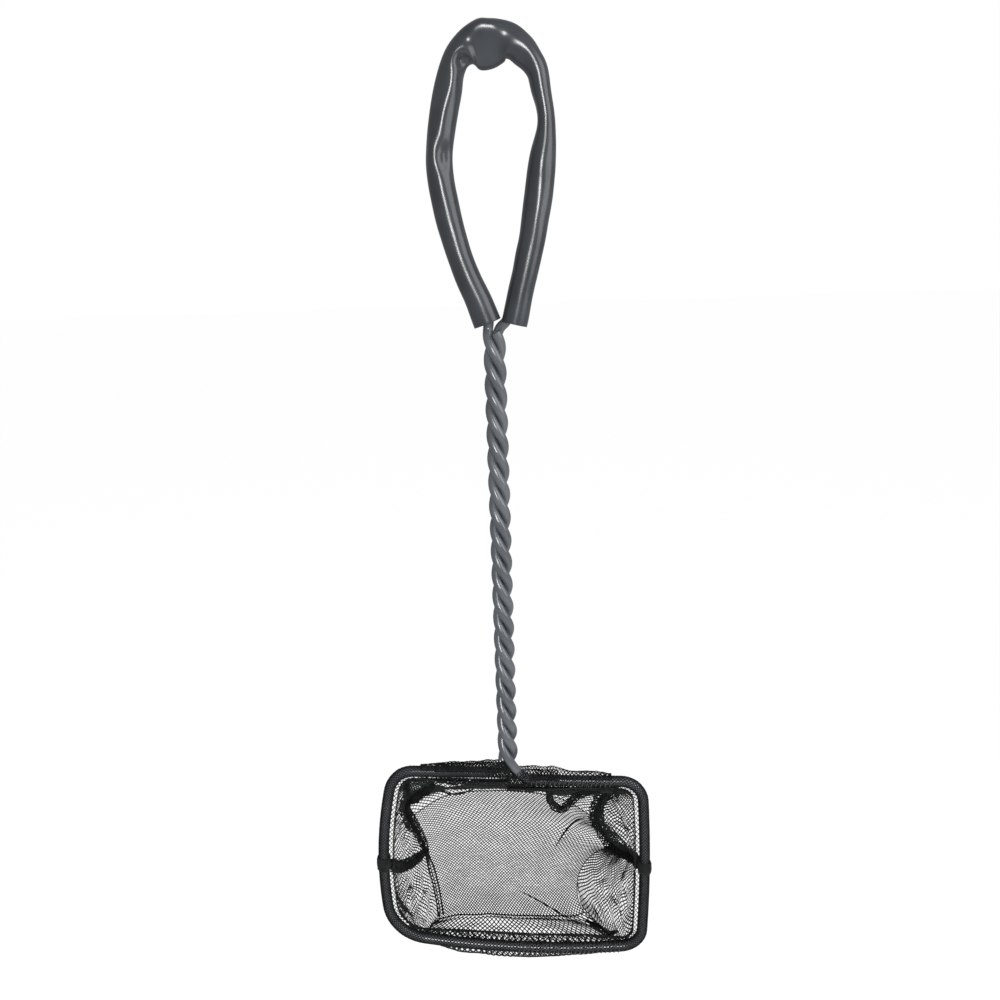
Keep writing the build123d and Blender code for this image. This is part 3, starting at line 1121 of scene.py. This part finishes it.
        turns = int((end - start) / self.lock_pitch)
        return winding(turns, self.wound_points, place, self.lock_radius, 6)

    def band(self, side: Side, half: float) -> Mesh:
        """Wind the thick overlocked band where a side seam wraps the hoop.

        Args:
            side: The side of the seam.
            half: Half the band's length.

        Returns:
            The band's mesh.
        """
        middle = self.hoop.levels(side)[1]

        def wound(share: float, turn: float) -> Vector:
            """Return the thread's place at a share of the band and an angle."""
            distance = middle + half * (2.0 * share - 1.0)
            uneven = noise.noise(Vector((share * self.band_rate, turn, 2.0)))
            swell = self.band_swell * math.sin(math.pi * share) + self.band_unevenness * uneven
            return self.hoop.ring(distance, turn, self.band_radius + swell, self.band_width)

        def core(u: float, v: float) -> Vector:
            """Return the place on the folded netting under the thread."""
            distance = middle + half * (2.0 * v - 1.0)
            radius = self.band_core_radius + self.band_core_swell * math.sin(math.pi * v)
            return self.hoop.ring(distance, math.tau * u, radius, self.band_width)

        turns = int(2.0 * half / self.band_pitch)
        thread = winding(turns, self.wound_points, wound, self.band_thread, 6)
        return joined([thread, skin_mesh(18, 12, core)])

    def build(self) -> None:
        """Make the hem's pieces and put them in place of the CAD solids."""
        net, thread = self.finishes.netting, self.finishes.thread
        length = self.hoop.route.length
        left = self.hoop.stops[0]
        right = self.hoop.stops[8]
        inner = (self.inner_spread, self.inner_twist)
        gathers = [
            self.loose_layer(0.0, left + self.left_gathers[0]),
            self.loose_layer(0.0, left + self.left_gathers[1], *inner),
            self.loose_layer(right + self.right_gathers, length),
            self.loose_layer(length - self.right_inner_gathers, length, *inner),
        ]
        lower = self.hoop.route.nearest((0.0, 0.0, self.lock_height))
        locks = [
            self.lock_stitch(lower, lower + self.lock_length),
            self.lock_stitch(length - self.upper_lock[0], length - self.upper_lock[1]),
        ]
        bands = (self.band(Side.LEFT, self.left_band), self.band(Side.RIGHT, self.right_band))
        seat(finished("hem_netting", self.casing(0.0, length), net), "hem_casing")
        seat(finished("hem_gathers", joined(gathers), net))
        seat(finished("hem_flap", self.flap_layer(), net))
        seat(finished("hem_running_stitch", self.running_stitch(), thread), "hem_stitching")
        seat(finished("hem_lock_stitch", joined(locks), self.finishes.lock_thread))
        seat(finished("left_seam_band", bands[0], thread), "left_hem_band")
        seat(finished("right_seam_band", bands[1], thread), "right_hem_band")


@dataclass(frozen=True)
class SeamPlan:
    """A strip of folded netting: its route, its half widths along it, and the panel it goes with."""

    name: str
    panel: str
    places: tuple[Place, ...]
    half_widths: tuple[float, ...]
    half_depth: float
    kind: SeamKind = SeamKind.SEWN
    node: str = ""


@dataclass(frozen=True)
class Knit:
    """How a panel is knitted: size of its diamonds, strand, slack over hung length, edge and spacing."""

    across: float
    along: float
    strand: float
    slack: float = 1.0
    even: bool = False
    bordered: bool = True
    bias: float = 1.0


@dataclass(frozen=True)
class Crease:
    """A pinched fold of the back panel between two places, standing forward by its height."""

    start: Place
    end: Place
    height: float
    reach: float


@dataclass(frozen=True)
class Sag:
    """A dip of the top wall: its middle in x and y, its reach in both, and its depth."""

    x: float
    y: float
    reach_x: float
    reach_y: float
    drop: float


@dataclass(frozen=True)
class SidePlan:
    """One side of the bag: places along its corner seam, its edges and its side seam, and its lower wall.

    The lap is how far the slack netting of the lower wall falls over, at most.
    """

    crossbar: tuple[Place, ...]
    top_edge: tuple[Place, ...]
    low_edge: tuple[Place, ...]
    stem: tuple[Place, ...]
    stem_widths: tuple[float, ...]
    corner_widths: tuple[float, ...]
    lap: Place
    low_knit: Knit


LEFT_SIDE = SidePlan(
    crossbar=(
        (-47.0, 38.0, -297.8), (-48.9, 43.0, -305.5), (-47.6, 50.0, -317.8),
        (-44.1, 56.0, -331.4), (-42.5, 59.0, -341.2), (-41.1, 60.0, -350.8),
        (-39.3, 60.5, -361.9), (-38.2, 60.0, -371.1), (-37.4, 58.0, -377.8),
    ),
    top_edge=((-43.0, 20.0, -279.5),),
    low_edge=((-40.0, 44.0, -371.5), (-41.5, 25.0, -358.5), (-42.0, 9.0, -344.0)),
    stem=((-50.1, 14.0, -313.1), (-48.6, 26.0, -322.9), (-46.4, 40.0, -331.6)),
    stem_widths=(2.5, 2.4, 2.0, 1.3),
    corner_widths=(1.5, 2.6, 2.7, 2.0, 1.4),
    lap=(2.0, -2.0, 0.0),
    low_knit=Knit(2.3, 3.6, 0.84, bordered=False, bias=0.85),
)
RIGHT_SIDE = SidePlan(
    crossbar=(
        (44.4, 34.0, -293.2), (41.0, 40.0, -302.0), (39.9, 46.0, -313.2),
        (43.0, 51.0, -325.0), (48.4, 53.0, -335.5), (40.5, 56.8, -343.0),
        (35.0, 59.2, -352.0), (32.0, 60.0, -363.0), (33.5, 58.0, -375.5),
    ),
    top_edge=((45.5, 18.0, -283.0),),
    low_edge=((40.5, 48.0, -377.0), (46.0, 28.0, -367.0), (47.5, 9.0, -352.5)),
    stem=((52.6, 18.0, -314.9), (50.6, 36.0, -326.2)),
    stem_widths=(2.2, 2.2, 2.5, 2.8),
    corner_widths=(2.0, 2.8, 3.1, 3.0, 2.8),
    lap=(-1.2, -1.2, 0.0),
    low_knit=Knit(2.3, 2.8, 0.84, bordered=False, bias=0.72),
)
ARM_WIDTHS = (0.9, 0.45, 0.4, 0.4, 0.5)
ARM_DEPTH = 0.3
ARM_SHIFTS = (("outer", (-0.5, -2.5, 1.0)), ("inner", (1.7, -0.2, 0.0)))
FOLDS = (
    SeamPlan(
        "left_shoulder_fold",
        "net_left_upper_wall",
        ((-47.0, 38.0, -298.3), (-42.1, 30.0, -290.6), (-36.6, 20.0, -280.3), (-31.0, 8.0, -269.4)),
        (1.6, 1.9, 1.9, 1.5),
        0.6,
    ),
    SeamPlan(
        "left_corner_fold",
        "net_left_upper_wall",
        ((-47.0, 38.0, -297.8), (-44.6, 22.0, -281.0), (-40.8, 4.0, -266.0)),
        (1.4, 1.7, 1.4),
        0.5,
        SeamKind.GATHER,
    ),
    SeamPlan(
        "right_shoulder_fold",
        "net_right_upper_wall",
        ((44.4, 34.0, -293.2), (44.6, 18.0, -281.6), (43.5, 4.0, -270.6)),
        (2.2, 2.2, 1.8),
        0.6,
    ),
    SeamPlan(
        "hem_pleat",
        "net_top_wall",
        (
            (15.4, 4.0, -267.3), (16.3, 8.0, -274.8), (17.7, 12.0, -282.4), (21.5, 14.0, -287.1),
            (24.9, 13.0, -283.3), (29.3, 10.0, -277.5), (33.9, 7.0, -273.7), (38.1, 4.0, -270.3),
        ),
        (1.0, 1.1, 1.2, 1.3, 1.25, 1.25, 1.1, 0.8),
        0.6,
    ),
    SeamPlan(
        "hem_bow",
        "net_top_wall",
        (
            (-30.3, 10.0, -272.3), (-26.6, 11.5, -275.6), (-22.8, 12.0, -276.8),
            (-18.9, 11.5, -275.9), (-15.0, 10.0, -273.3),
        ),
        (0.3, 0.4, 0.45, 0.4, 0.3),
        0.3,
        SeamKind.FOLD,
    ),
    SeamPlan(
        "back_low_fold",
        "net_back_panel",
        (
            (3.2, 59.6, -366.7), (10.1, 59.4, -370.9), (17.1, 58.6, -375.3),
            (24.4, 56.0, -378.6), (33.1, 52.0, -380.8),
        ),
        (0.15, 0.35, 0.4, 0.35, 0.2),
        0.25,
        SeamKind.FOLD,
    ),
    SeamPlan(
        "back_upper_fold",
        "net_back_panel",
        ((35.2, 55.2, -321.6), (31.1, 58.6, -326.1), (26.7, 59.8, -332.1), (21.1, 59.8, -341.7)),
        (0.25, 0.5, 0.5, 0.15),
        0.25,
        SeamKind.FOLD,
    ),
    SeamPlan(
        "right_low_gather",
        "net_right_lower_wall",
        ((35.5, 52.0, -378.4), (40.3, 46.0, -377.3), (44.6, 38.0, -373.6), (47.2, 26.0, -361.2)),
        (0.5, 1.5, 1.2, 0.4),
        0.6,
        SeamKind.GATHER,
    ),
    SeamPlan(
        "left_low_gather",
        "net_left_lower_wall",
        ((-49.5, 8.0, -321.8), (-48.8, 10.0, -328.2), (-47.6, 14.0, -335.4), (-45.3, 18.0, -342.3)),
        (0.15, 0.45, 0.5, 0.15),
        0.5,
        SeamKind.GATHER,
    ),
)


@dataclass
class NetBag:
    """The bag: a strip of netting over the top, down the back and under, two side walls, and their seams."""

    hoop: Hoop
    finishes: Finishes
    left: SidePlan = LEFT_SIDE
    right: SidePlan = RIGHT_SIDE
    folds: tuple[SeamPlan, ...] = FOLDS
    back_knit: Knit = Knit(1.7, 1.7, 0.45, even=True)
    top_knit: Knit = Knit(1.9, 3.6, 0.56, slack=0.62)
    bottom_knit: Knit = Knit(2.3, 6.2, 0.82)
    upper_knit: Knit = Knit(2.3, 4.2, 0.75)
    blend_start: float = 2.0
    blend_end: float = 44.0
    cross_slope: float = -0.062
    middle_x: float = 3.0
    junction: int = 4
    profile: tuple[Span, ...] = (
        (0.6, -268.0), (20.0, -281.0), (40.0, -293.6), (54.5, -302.6), (59.6, -309.0), (60.8, -322.0),
        (60.8, -340.0), (60.8, -358.0), (60.4, -370.0), (57.6, -378.2), (50.0, -375.0), (35.0, -368.0),
        (20.0, -361.0), (10.0, -356.8), (5.0, -353.6), (2.2, -346.5), (0.8, -338.0),
    )
    shoulder: Place = (3.0, 59.6, -309.0)
    foot: Place = (3.0, 56.6, -378.3)
    mouth_overlap: float = 0.3
    mouth_back: float = 0.5
    top_fit: float = 0.14
    low_fit: float = 0.88
    hem_margin: float = 0.05
    side_margin: float = 0.06
    fine_grain: float = 1.7
    fine_crumple: float = 0.12
    broad_grain: float = 11.0
    broad_crumple: float = 0.55
    wall_sways: tuple[Span, ...] = ((9.0, 1.7), (4.0, 0.7))
    wall_fullness: float = 0.7
    lap_fullness: float = 0.6
    lap_peak: float = 0.105
    crease_over: float = 0.1
    crease_fade: float = 0.15
    sag_floor: float = -300.0
    sags: tuple[Sag, ...] = (Sag(21.5, 13.0, 7.0, 9.0, 2.5), Sag(-22.0, 9.0, 9.0, 8.0, 3.5))
    creases: tuple[Crease, ...] = (
        Crease((3.2, 60.5, -366.4), (37.5, 56.0, -381.4), 1.2, 1.1),
        Crease((23.7, 60.5, -337.7), (36.9, 56.0, -320.0), 1.3, 1.0),
        Crease((-30.0, 60.5, -322.0), (-8.0, 60.5, -330.0), 0.5, 2.2),
        Crease((-6.0, 60.5, -318.0), (6.0, 60.5, -360.0), 0.5, 2.6),
    )
    seam_sight: Place = (0.0, 0.79, -0.62)
    seam_depth: float = 0.7
    seam_unevenness: float = 0.24
    seam_grain: float = 1.9
    seam_cell: float = 1.9
    seam_start: Span = (1.8, 0.4)
    seam_way_step: float = 0.8
    strip_grain: float = 1.6
    core_step: float = 1.05
    sewn_core: Span = (0.4, 0.9)
    sewn_cover: Span = (1.12, 0.9)
    fold_core: Span = (0.9, 0.08)
    gather_layers: tuple[Span, Span] = ((1.0, 0.5), (0.55, 0.5))
    gather_strand: float = 0.46
    sewn_strand: float = 0.42
    overlock_pitch: float = 2.4
    overlock_points: int = 12
    overlock_radius: float = 0.17
    overlock_gap: float = 0.15
    overlock_grain: float = 1.1
    overlock_stray: float = 0.25
    strips: Strips = field(init=False, default_factory=dict)

    def plan(self, side: Side) -> SidePlan:
        """Return the plan of a side."""
        return self.left if side is Side.LEFT else self.right

    def middle(self) -> Route:
        """Return the strip's middle line, over the top, down the back and under to the front."""
        return Route.smooth([(self.middle_x, y, z) for y, z in self.profile])

    def mouth(self, start: float, end: float, count: int = 80) -> Route:
        """Return a stretch of the mouth's edge, along the stitch line."""
        points = []
        for step in range(count + 1):
            distance = start + (end - start) * step / count
            reach = self.hoop.flap(distance) - self.mouth_overlap
            points.append(self.hoop.inset(distance, reach, self.mouth_back))
        return Route(points)

    def centre_surface(self) -> Surface:
        """Return the long strip: u runs from left to right, v over the top, down the back and under."""
        left_top, _, left_low = self.hoop.levels(Side.LEFT)
        right_top, _, right_low = self.hoop.levels(Side.RIGHT)
        halves = (self.mouth(left_top, 0.0, 50), self.mouth(self.hoop.route.length, right_top, 50))
        top = Route([*halves[0].points, *halves[1].points])
        low = self.mouth(left_low, right_low)
        left, right = (
            Route.smooth([top.part(end), *plan.top_edge, *plan.crossbar, *plan.low_edge, low.part(end)])
            for end, plan in ((0.0, self.left), (1.0, self.right))
        )
        middle = self.middle()

        def plain(u: float, v: float) -> Vector:
            """Return the strip's place before it is fitted to the mouth."""
            spot = left.part(v).lerp(right.part(v), u)
            core = middle.part(v)
            hold = 1.0 - abs(2.0 * u - 1.0) ** 3
            spot.y += (core.y - spot.y) * hold
            spot.z += (core.z + self.cross_slope * (spot.x - self.middle_x) - spot.z) * hold
            return spot

        def place(u: float, v: float) -> Vector:
            """Return the strip's place with its sags, creases and crumples."""
            spot = plain(u, v)
            first = 1.0 - ease(v, 0.0, self.top_fit)
            last = ease(v, self.low_fit, 1.0)
            spot += (top.part(u) - plain(u, 0.0)) * first + (low.part(u) - plain(u, 1.0)) * last
            free = ease(v, 0.0, self.hem_margin) * (1.0 - ease(v, 1.0 - self.hem_margin, 1.0))
            free *= ease(u, 0.0, self.side_margin) * ease(1.0 - u, 0.0, self.side_margin)
            return spot + self.crumple(spot) * free

        return place

    def crumple(self, spot: Vector) -> Vector:
        """Return how far the slack netting leaves its smooth shape at a place on it."""
        move = wander(spot, self.broad_grain) * self.broad_crumple
        move += wander(spot, self.fine_grain) * self.fine_crumple
        if spot.z > self.sag_floor:
            for sag in self.sags:
                move.z -= sag.drop * hill(spot.x, sag.x, sag.reach_x) * hill(spot.y, sag.y, sag.reach_y)
        for crease in self.creases:
            near, share = geometry.intersect_point_line(spot, Vector(crease.start), Vector(crease.end))
            over, inside = self.crease_over, self.crease_fade
            if -over < share < 1.0 + over:
                away = (spot - near).length
                fade = ease(share, -over, inside) * (1.0 - ease(share, 1.0 - inside, 1.0 + over))
                move.y -= crease.height * math.exp(-away / crease.reach) * fade
        return move

    def wall_surface(self, first: Route, last: Route, near: Route, far: Route, lap: Place) -> Surface:
        """Return a side wall between four edges, crumpled inside them and lapped over towards the middle.

        Args:
            first: The wall's edge at the mouth.
            last: Its edge at the back.
            near: Its upper edge.
            far: Its lower edge.
            lap: How far the slack netting falls over, at most.

        Returns:
            The wall's surface.
        """
        smooth = coons(first, last, near, far)

        def place(u: float, v: float) -> Vector:
            """Return the wall's place at u and v."""
            spot = smooth(u, v)
            across = max(math.sin(math.pi * u), 0.0)
            free = (across * max(math.sin(math.pi * v), 0.0)) ** self.wall_fullness
            sway = sum((wander(spot, grain) * size for grain, size in self.wall_sways), Vector())
            fall = across**self.lap_fullness * v**3 * (1.0 - v) / self.lap_peak
            fine = wander(spot, self.fine_grain) * self.fine_crumple
            return spot + sway * free + Vector(lap) * fall + fine

        return place

    def panel(self, name: str, surface: Surface, knit: Knit) -> Piece:
        """Args:
            name: The panel's name.
            surface: The surface it hangs on.
            knit: How it is knitted.

        Returns:
            The panel.
        """

        def biased(u: float, v: float) -> Vector:
            """Return the surface's place with the rows spaced by the knit's bias."""
            return surface(u, v**knit.bias)

        wide, long, area = flat_size(surface)
        across = round(wide / knit.across)
        along = round(long / knit.along)
        mesh = net_mesh(across, along, biased, knit.strand, even=knit.even, bordered=knit.bordered)
        piece = finished(name, mesh, self.finishes.mesh)
        self.hang(piece)
        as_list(self.strips.get(name, []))
        return piece

    def hang(self, piece: Piece) -> None:
        """Bake a piece's placement into its mesh."""
        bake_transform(piece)

    def seam(self, plan: SeamPlan) -> list[Piece]:
        """Make one strip: folded netting, with an overlock thread over it where it is sewn.

        Args:
            plan: The seam's route and widths.

        Returns:
            The strip, and its thread if it has one.
        """
        route = Route.smooth(plan.places)
        last = len(plan.half_widths) - 1

        def around(share: float, turn: float, swell: float, gap: float = 0.0) -> Vector:
            """Return a place round the strip, made fuller by swell and standing off by a gap."""
            distance = share * route.length
            way = route.way(distance, self.seam_way_step)
            side = way.cross(Vector(self.seam_sight)).normalized()
            face = side.cross(way).normalized()
            reach = distance / route.length * last
            index = min(int(reach), last - 1)
            part = ease(reach, index, index + 1)
            half = plan.half_widths[index] * (1.0 - part) + plan.half_widths[index + 1] * part
            uneven = noise.noise(Vector((distance / self.seam_grain, half, plan.half_depth)))
            half *= 1.0 + self.seam_unevenness * uneven
            spot = route.at(distance) + side * ((half * swell + gap) * math.cos(turn))
            return spot + face * ((plan.half_depth * swell + gap) * math.sin(turn))

        def skin(swell: float, rough: float) -> Surface:
            """Return the strip's skin, made fuller by swell and uneven by rough."""

            def place(u: float, v: float) -> Vector:
                """Return the place at u round the strip and v along it."""
                spot = around(v, math.tau * u, swell)
                return spot + wander(spot, self.strip_grain) * rough

            return place

        def overlock(share: float, turn: float) -> Vector:
            """Return the overlock thread's place at a share of the seam and an angle."""
            spot = around(share, turn, 1.0, self.overlock_gap)
            return spot + wander(spot, self.overlock_grain) * self.overlock_stray

        rows = max(int(route.length / self.core_step), 6)
        knots = max(int(route.length / self.seam_cell), 4)
        sewn = plan.kind is SeamKind.SEWN
        if plan.kind is SeamKind.GATHER:
            layers = [
                net_mesh(6, knots, skin(*self.gather_layers[0]), self.gather_strand, closed=True),
                net_mesh(4, knots, skin(*self.gather_layers[1]), self.gather_strand, closed=True),
            ]
        else:
            layers = [capped(skin_mesh(12, rows, skin(*(self.sewn_core if sewn else self.fold_core))))]
        if sewn:
            layers.append(net_mesh(7, knots, skin(*self.sewn_cover), self.sewn_strand, closed=True))
        pieces = [finished(plan.name, joined(layers), self.finishes.netting)]
        if sewn:
            turns = max(int(route.length / self.overlock_pitch), 4)
            thread = winding(turns, self.overlock_points, overlock, self.overlock_radius, 5)
            pieces.append(finished(f"{plan.name}_thread", thread, self.finishes.thread))
        for piece in pieces:
            self.hang(piece)
        if plan.node:
            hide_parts(plan.node)
        return pieces

    def seam_plans(self) -> list[SeamPlan]:
        """Return the side seams, the corner seams and the two lines of the left seam's lower arm."""
        turn = self.junction
        stems = []
        corners = []
        for side in Side:
            plan = self.plan(side)
            name = side.value
            wall = f"net_{name}_upper_wall"
            start = tuple(self.hoop.inset(self.hoop.levels(side)[1], *self.seam_start))
            stem = (start, *plan.stem, plan.crossbar[turn])
            corner = plan.crossbar[: turn + 1]
            for kind, places, widths, plans in (
                ("side", stem, plan.stem_widths, stems),
                ("corner", corner, plan.corner_widths, corners),
            ):
                node = f"{name}_{kind}_seam"
                plans.append(SeamPlan(f"{node}_strip", wall, places, widths, self.seam_depth, node=node))
        arms = []
        for label, shift in ARM_SHIFTS:
            lower = (tuple(Vector(spot) + Vector(shift)) for spot in self.left.crossbar[turn + 1 :])
            places = (self.left.crossbar[turn], *lower)
            name = f"left_lower_arm_{label}"
            arms.append(SeamPlan(name, "net_left_upper_wall", places, ARM_WIDTHS, ARM_DEPTH, SeamKind.FOLD))
        return [*stems, *corners, *arms]

    def walls(self, side: Side) -> None:
        """Knit the upper and lower halves of a side wall, on each side of its seam."""
        plan = self.plan(side)
        bar = plan.crossbar
        top, seam, low = self.hoop.levels(side)
        upper_mouth = self.mouth(top, seam)
        lower_mouth = self.mouth(seam, low)
        upper_bar = Route.smooth(bar[: self.junction + 1])
        lower_bar = Route.smooth(bar[self.junction :])
        stem = Route.smooth([upper_mouth.part(1.0), *plan.stem, bar[self.junction]])
        over = Route.smooth([upper_mouth.part(0.0), *plan.top_edge, bar[0]])
        under = Route.smooth([lower_mouth.part(1.0), *reversed(plan.low_edge), bar[-1]])
        upper = self.wall_surface(upper_mouth, upper_bar, over, stem, (0.0, 0.0, 0.0))
        lower = self.wall_surface(lower_mouth, lower_bar, stem, under, plan.lap)
        self.panel(f"net_{side.value}_upper_wall", upper, self.upper_knit)
        self.panel(f"net_{side.value}_lower_wall", lower, plan.low_knit)

    def build(self) -> None:
        """Make the panels and seams, and put them in place of the CAD solids."""
        for plan in (*self.seam_plans(), *self.folds):
            self.strips.setdefault(plan.panel, []).extend(self.seam(plan))
        centre = self.centre_surface()
        middle = self.middle()
        shoulder = middle.nearest(self.shoulder) / middle.length
        foot = middle.nearest(self.foot) / middle.length

        def cut(start: float, end: float) -> Surface:
            """Return a stretch of the long strip as a surface of its own."""
            return lambda u, v: centre(u, start + (end - start) * v)

        top = self.panel("net_top_wall", cut(0.0, shoulder), self.top_knit)
        self.panel("net_back_panel", cut(shoulder, foot), self.back_knit)
        self.panel("net_bottom_wall", cut(foot, 1.0), self.bottom_knit)
        for side in Side:
            self.walls(side)
        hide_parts("net_bag")


@dataclass(frozen=True)
class Lamp:
    """A soft rectangular lamp: where it hangs, what it points at, its size and its power in watts."""

    name: str
    place: Place
    target: Place
    size: Span
    power: float

    def hang(self) -> None:
        """Hang the lamp in the scene."""
        light = bpy.data.lights.new(self.name, "AREA")
        light.shape = "RECTANGLE"
        light.size = self.size[0] * MM
        light.size_y = self.size[1] * MM
        light.energy = self.power
        lamp = bpy.data.objects.new(self.name, light)
        bpy.context.scene.collection.objects.link(lamp)
        aim = (Vector(self.target) - Vector(self.place)).normalized()
        lamp.rotation_euler = aim.to_track_quat("-Z", "Y").to_euler()
        lamp.location = Vector(self.place) * MM


@dataclass
class Studio:
    """The pale floor, the soft lights and the camera, which aren't part of the net."""

    camera_place: Place = (2.70, -291.0, -66.58)
    camera_lens: float = 29.99
    camera_sensor: float = 36.0
    camera_near: float = 0.01
    camera_pitch: float = 15.4
    camera_roll: float = 1.816
    floor_drop: float = 150.0
    floor_size: float = 24.0
    floor_glow: float = 1.15
    floor_glow_share: float = 0.8
    floor_tint: Colour = (0.9, 0.9, 0.9)
    world_light: float = 0.38
    lamps: tuple[Lamp, ...] = (
        Lamp("key", (40.0, -700.0, 60.0), (0.0, 0.0, -60.0), (170.0, 200.0), 3.6),
        Lamp("fill", (520.0, -260.0, 60.0), (0.0, 0.0, -150.0), (420.0, 620.0), 2.4),
    )

    def world(self) -> None:
        """Light the scene evenly, and show white behind it."""
        world = bpy.data.worlds.new("studio")
        bpy.context.scene.world = world
        world.use_nodes = True
        nodes = Nodes(world.node_tree)
        output = nodes.add("OutputWorld")
        shine = nodes.add("Background", {"Color": WHITE})
        path = nodes.add("LightPath")
        seen = nodes.add("Math", operation="MAXIMUM")
        level = nodes.add("MapRange", {"To Min": self.world_light, "To Max": 1.0})
        nodes.join(path, "Is Camera Ray", seen, 0)
        nodes.join(path, "Is Transmission Ray", seen, 1)
        nodes.join(seen, "Value", level, "Value")
        nodes.join(level, "Result", shine, "Strength")
        nodes.join(shine, "Background", output, "Surface")

    def floor(self) -> None:
        """Lay a pale floor well below the hanging net."""
        mesh = bmesh.new()
        bmesh.ops.create_grid(mesh, x_segments=8, y_segments=8, size=self.floor_size / 2)
        height = cad_box[0][2] - self.floor_drop * MM
        bmesh.ops.translate(mesh, vec=(0.0, 0.0, height), verts=mesh.verts[:])
        material = bpy.data.materials.new("pale_floor")
        material.use_nodes = True
        nodes = Nodes(material.node_tree)
        output = nodes.add("OutputMaterial")
        glow = nodes.add("Emission", {"Color": WHITE, "Strength": self.floor_glow})
        matt = nodes.add("BsdfDiffuse", {"Color": (*self.floor_tint, 1.0)})
        mix = nodes.add("MixShader")
        path = nodes.add("LightPath")
        share = nodes.add("MapRange", {"To Min": 0.0, "To Max": self.floor_glow_share})
        nodes.join(path, "Is Camera Ray", share, "Value")
        nodes.join(share, "Result", mix, "Fac")
        nodes.join(matt, "BSDF", mix, 1)
        nodes.join(glow, "Emission", mix, 2)
        nodes.join(mix, "Shader", output, "Surface")
        linked("studio_floor", mesh, material)

    def camera(self) -> None:
        """Stand the camera at the photograph's viewing angle."""
        roll = math.radians(self.camera_roll)
        pitch = math.radians(self.camera_pitch)
        right = Vector((math.cos(roll), 0.0, -math.sin(roll)))
        upright = Vector((math.sin(roll), 0.0, math.cos(roll)))
        ahead = BACK * math.cos(pitch) - upright * math.sin(pitch)
        above = upright * math.cos(pitch) + BACK * math.sin(pitch)
        lens = bpy.data.cameras.new("camera")
        lens.lens = self.camera_lens
        lens.sensor_width = self.camera_sensor
        lens.sensor_fit = "HORIZONTAL"
        lens.clip_start = self.camera_near
        camera = bpy.data.objects.new("camera", lens)
        bpy.context.scene.collection.objects.link(camera)
        turn = Matrix((right, above, -ahead)).transposed().to_4x4()
        turn.translation = Vector(self.camera_place) * MM
        camera.matrix_world = turn
        bpy.context.scene.camera = camera

    def build(self) -> None:
        """Set up the stage."""
        bpy.context.scene.view_settings.view_transform = "Standard"
        self.world()
        self.floor()
        for lamp in self.lamps:
            lamp.hang()
        self.camera()
        LOG.info("set the stage")


def main() -> None:
    """Build the net on its frame."""
    noise.seed_set(NOISE_SEED)
    Studio().build()
    finishes = Finishes()
    WireWork(finishes).dress()
    GripSleeve(finishes).build()
    hoop = Hoop()
    Hem(hoop, finishes).build()
    NetBag(hoop, finishes).build()


if __name__ == "__main__":
    main()
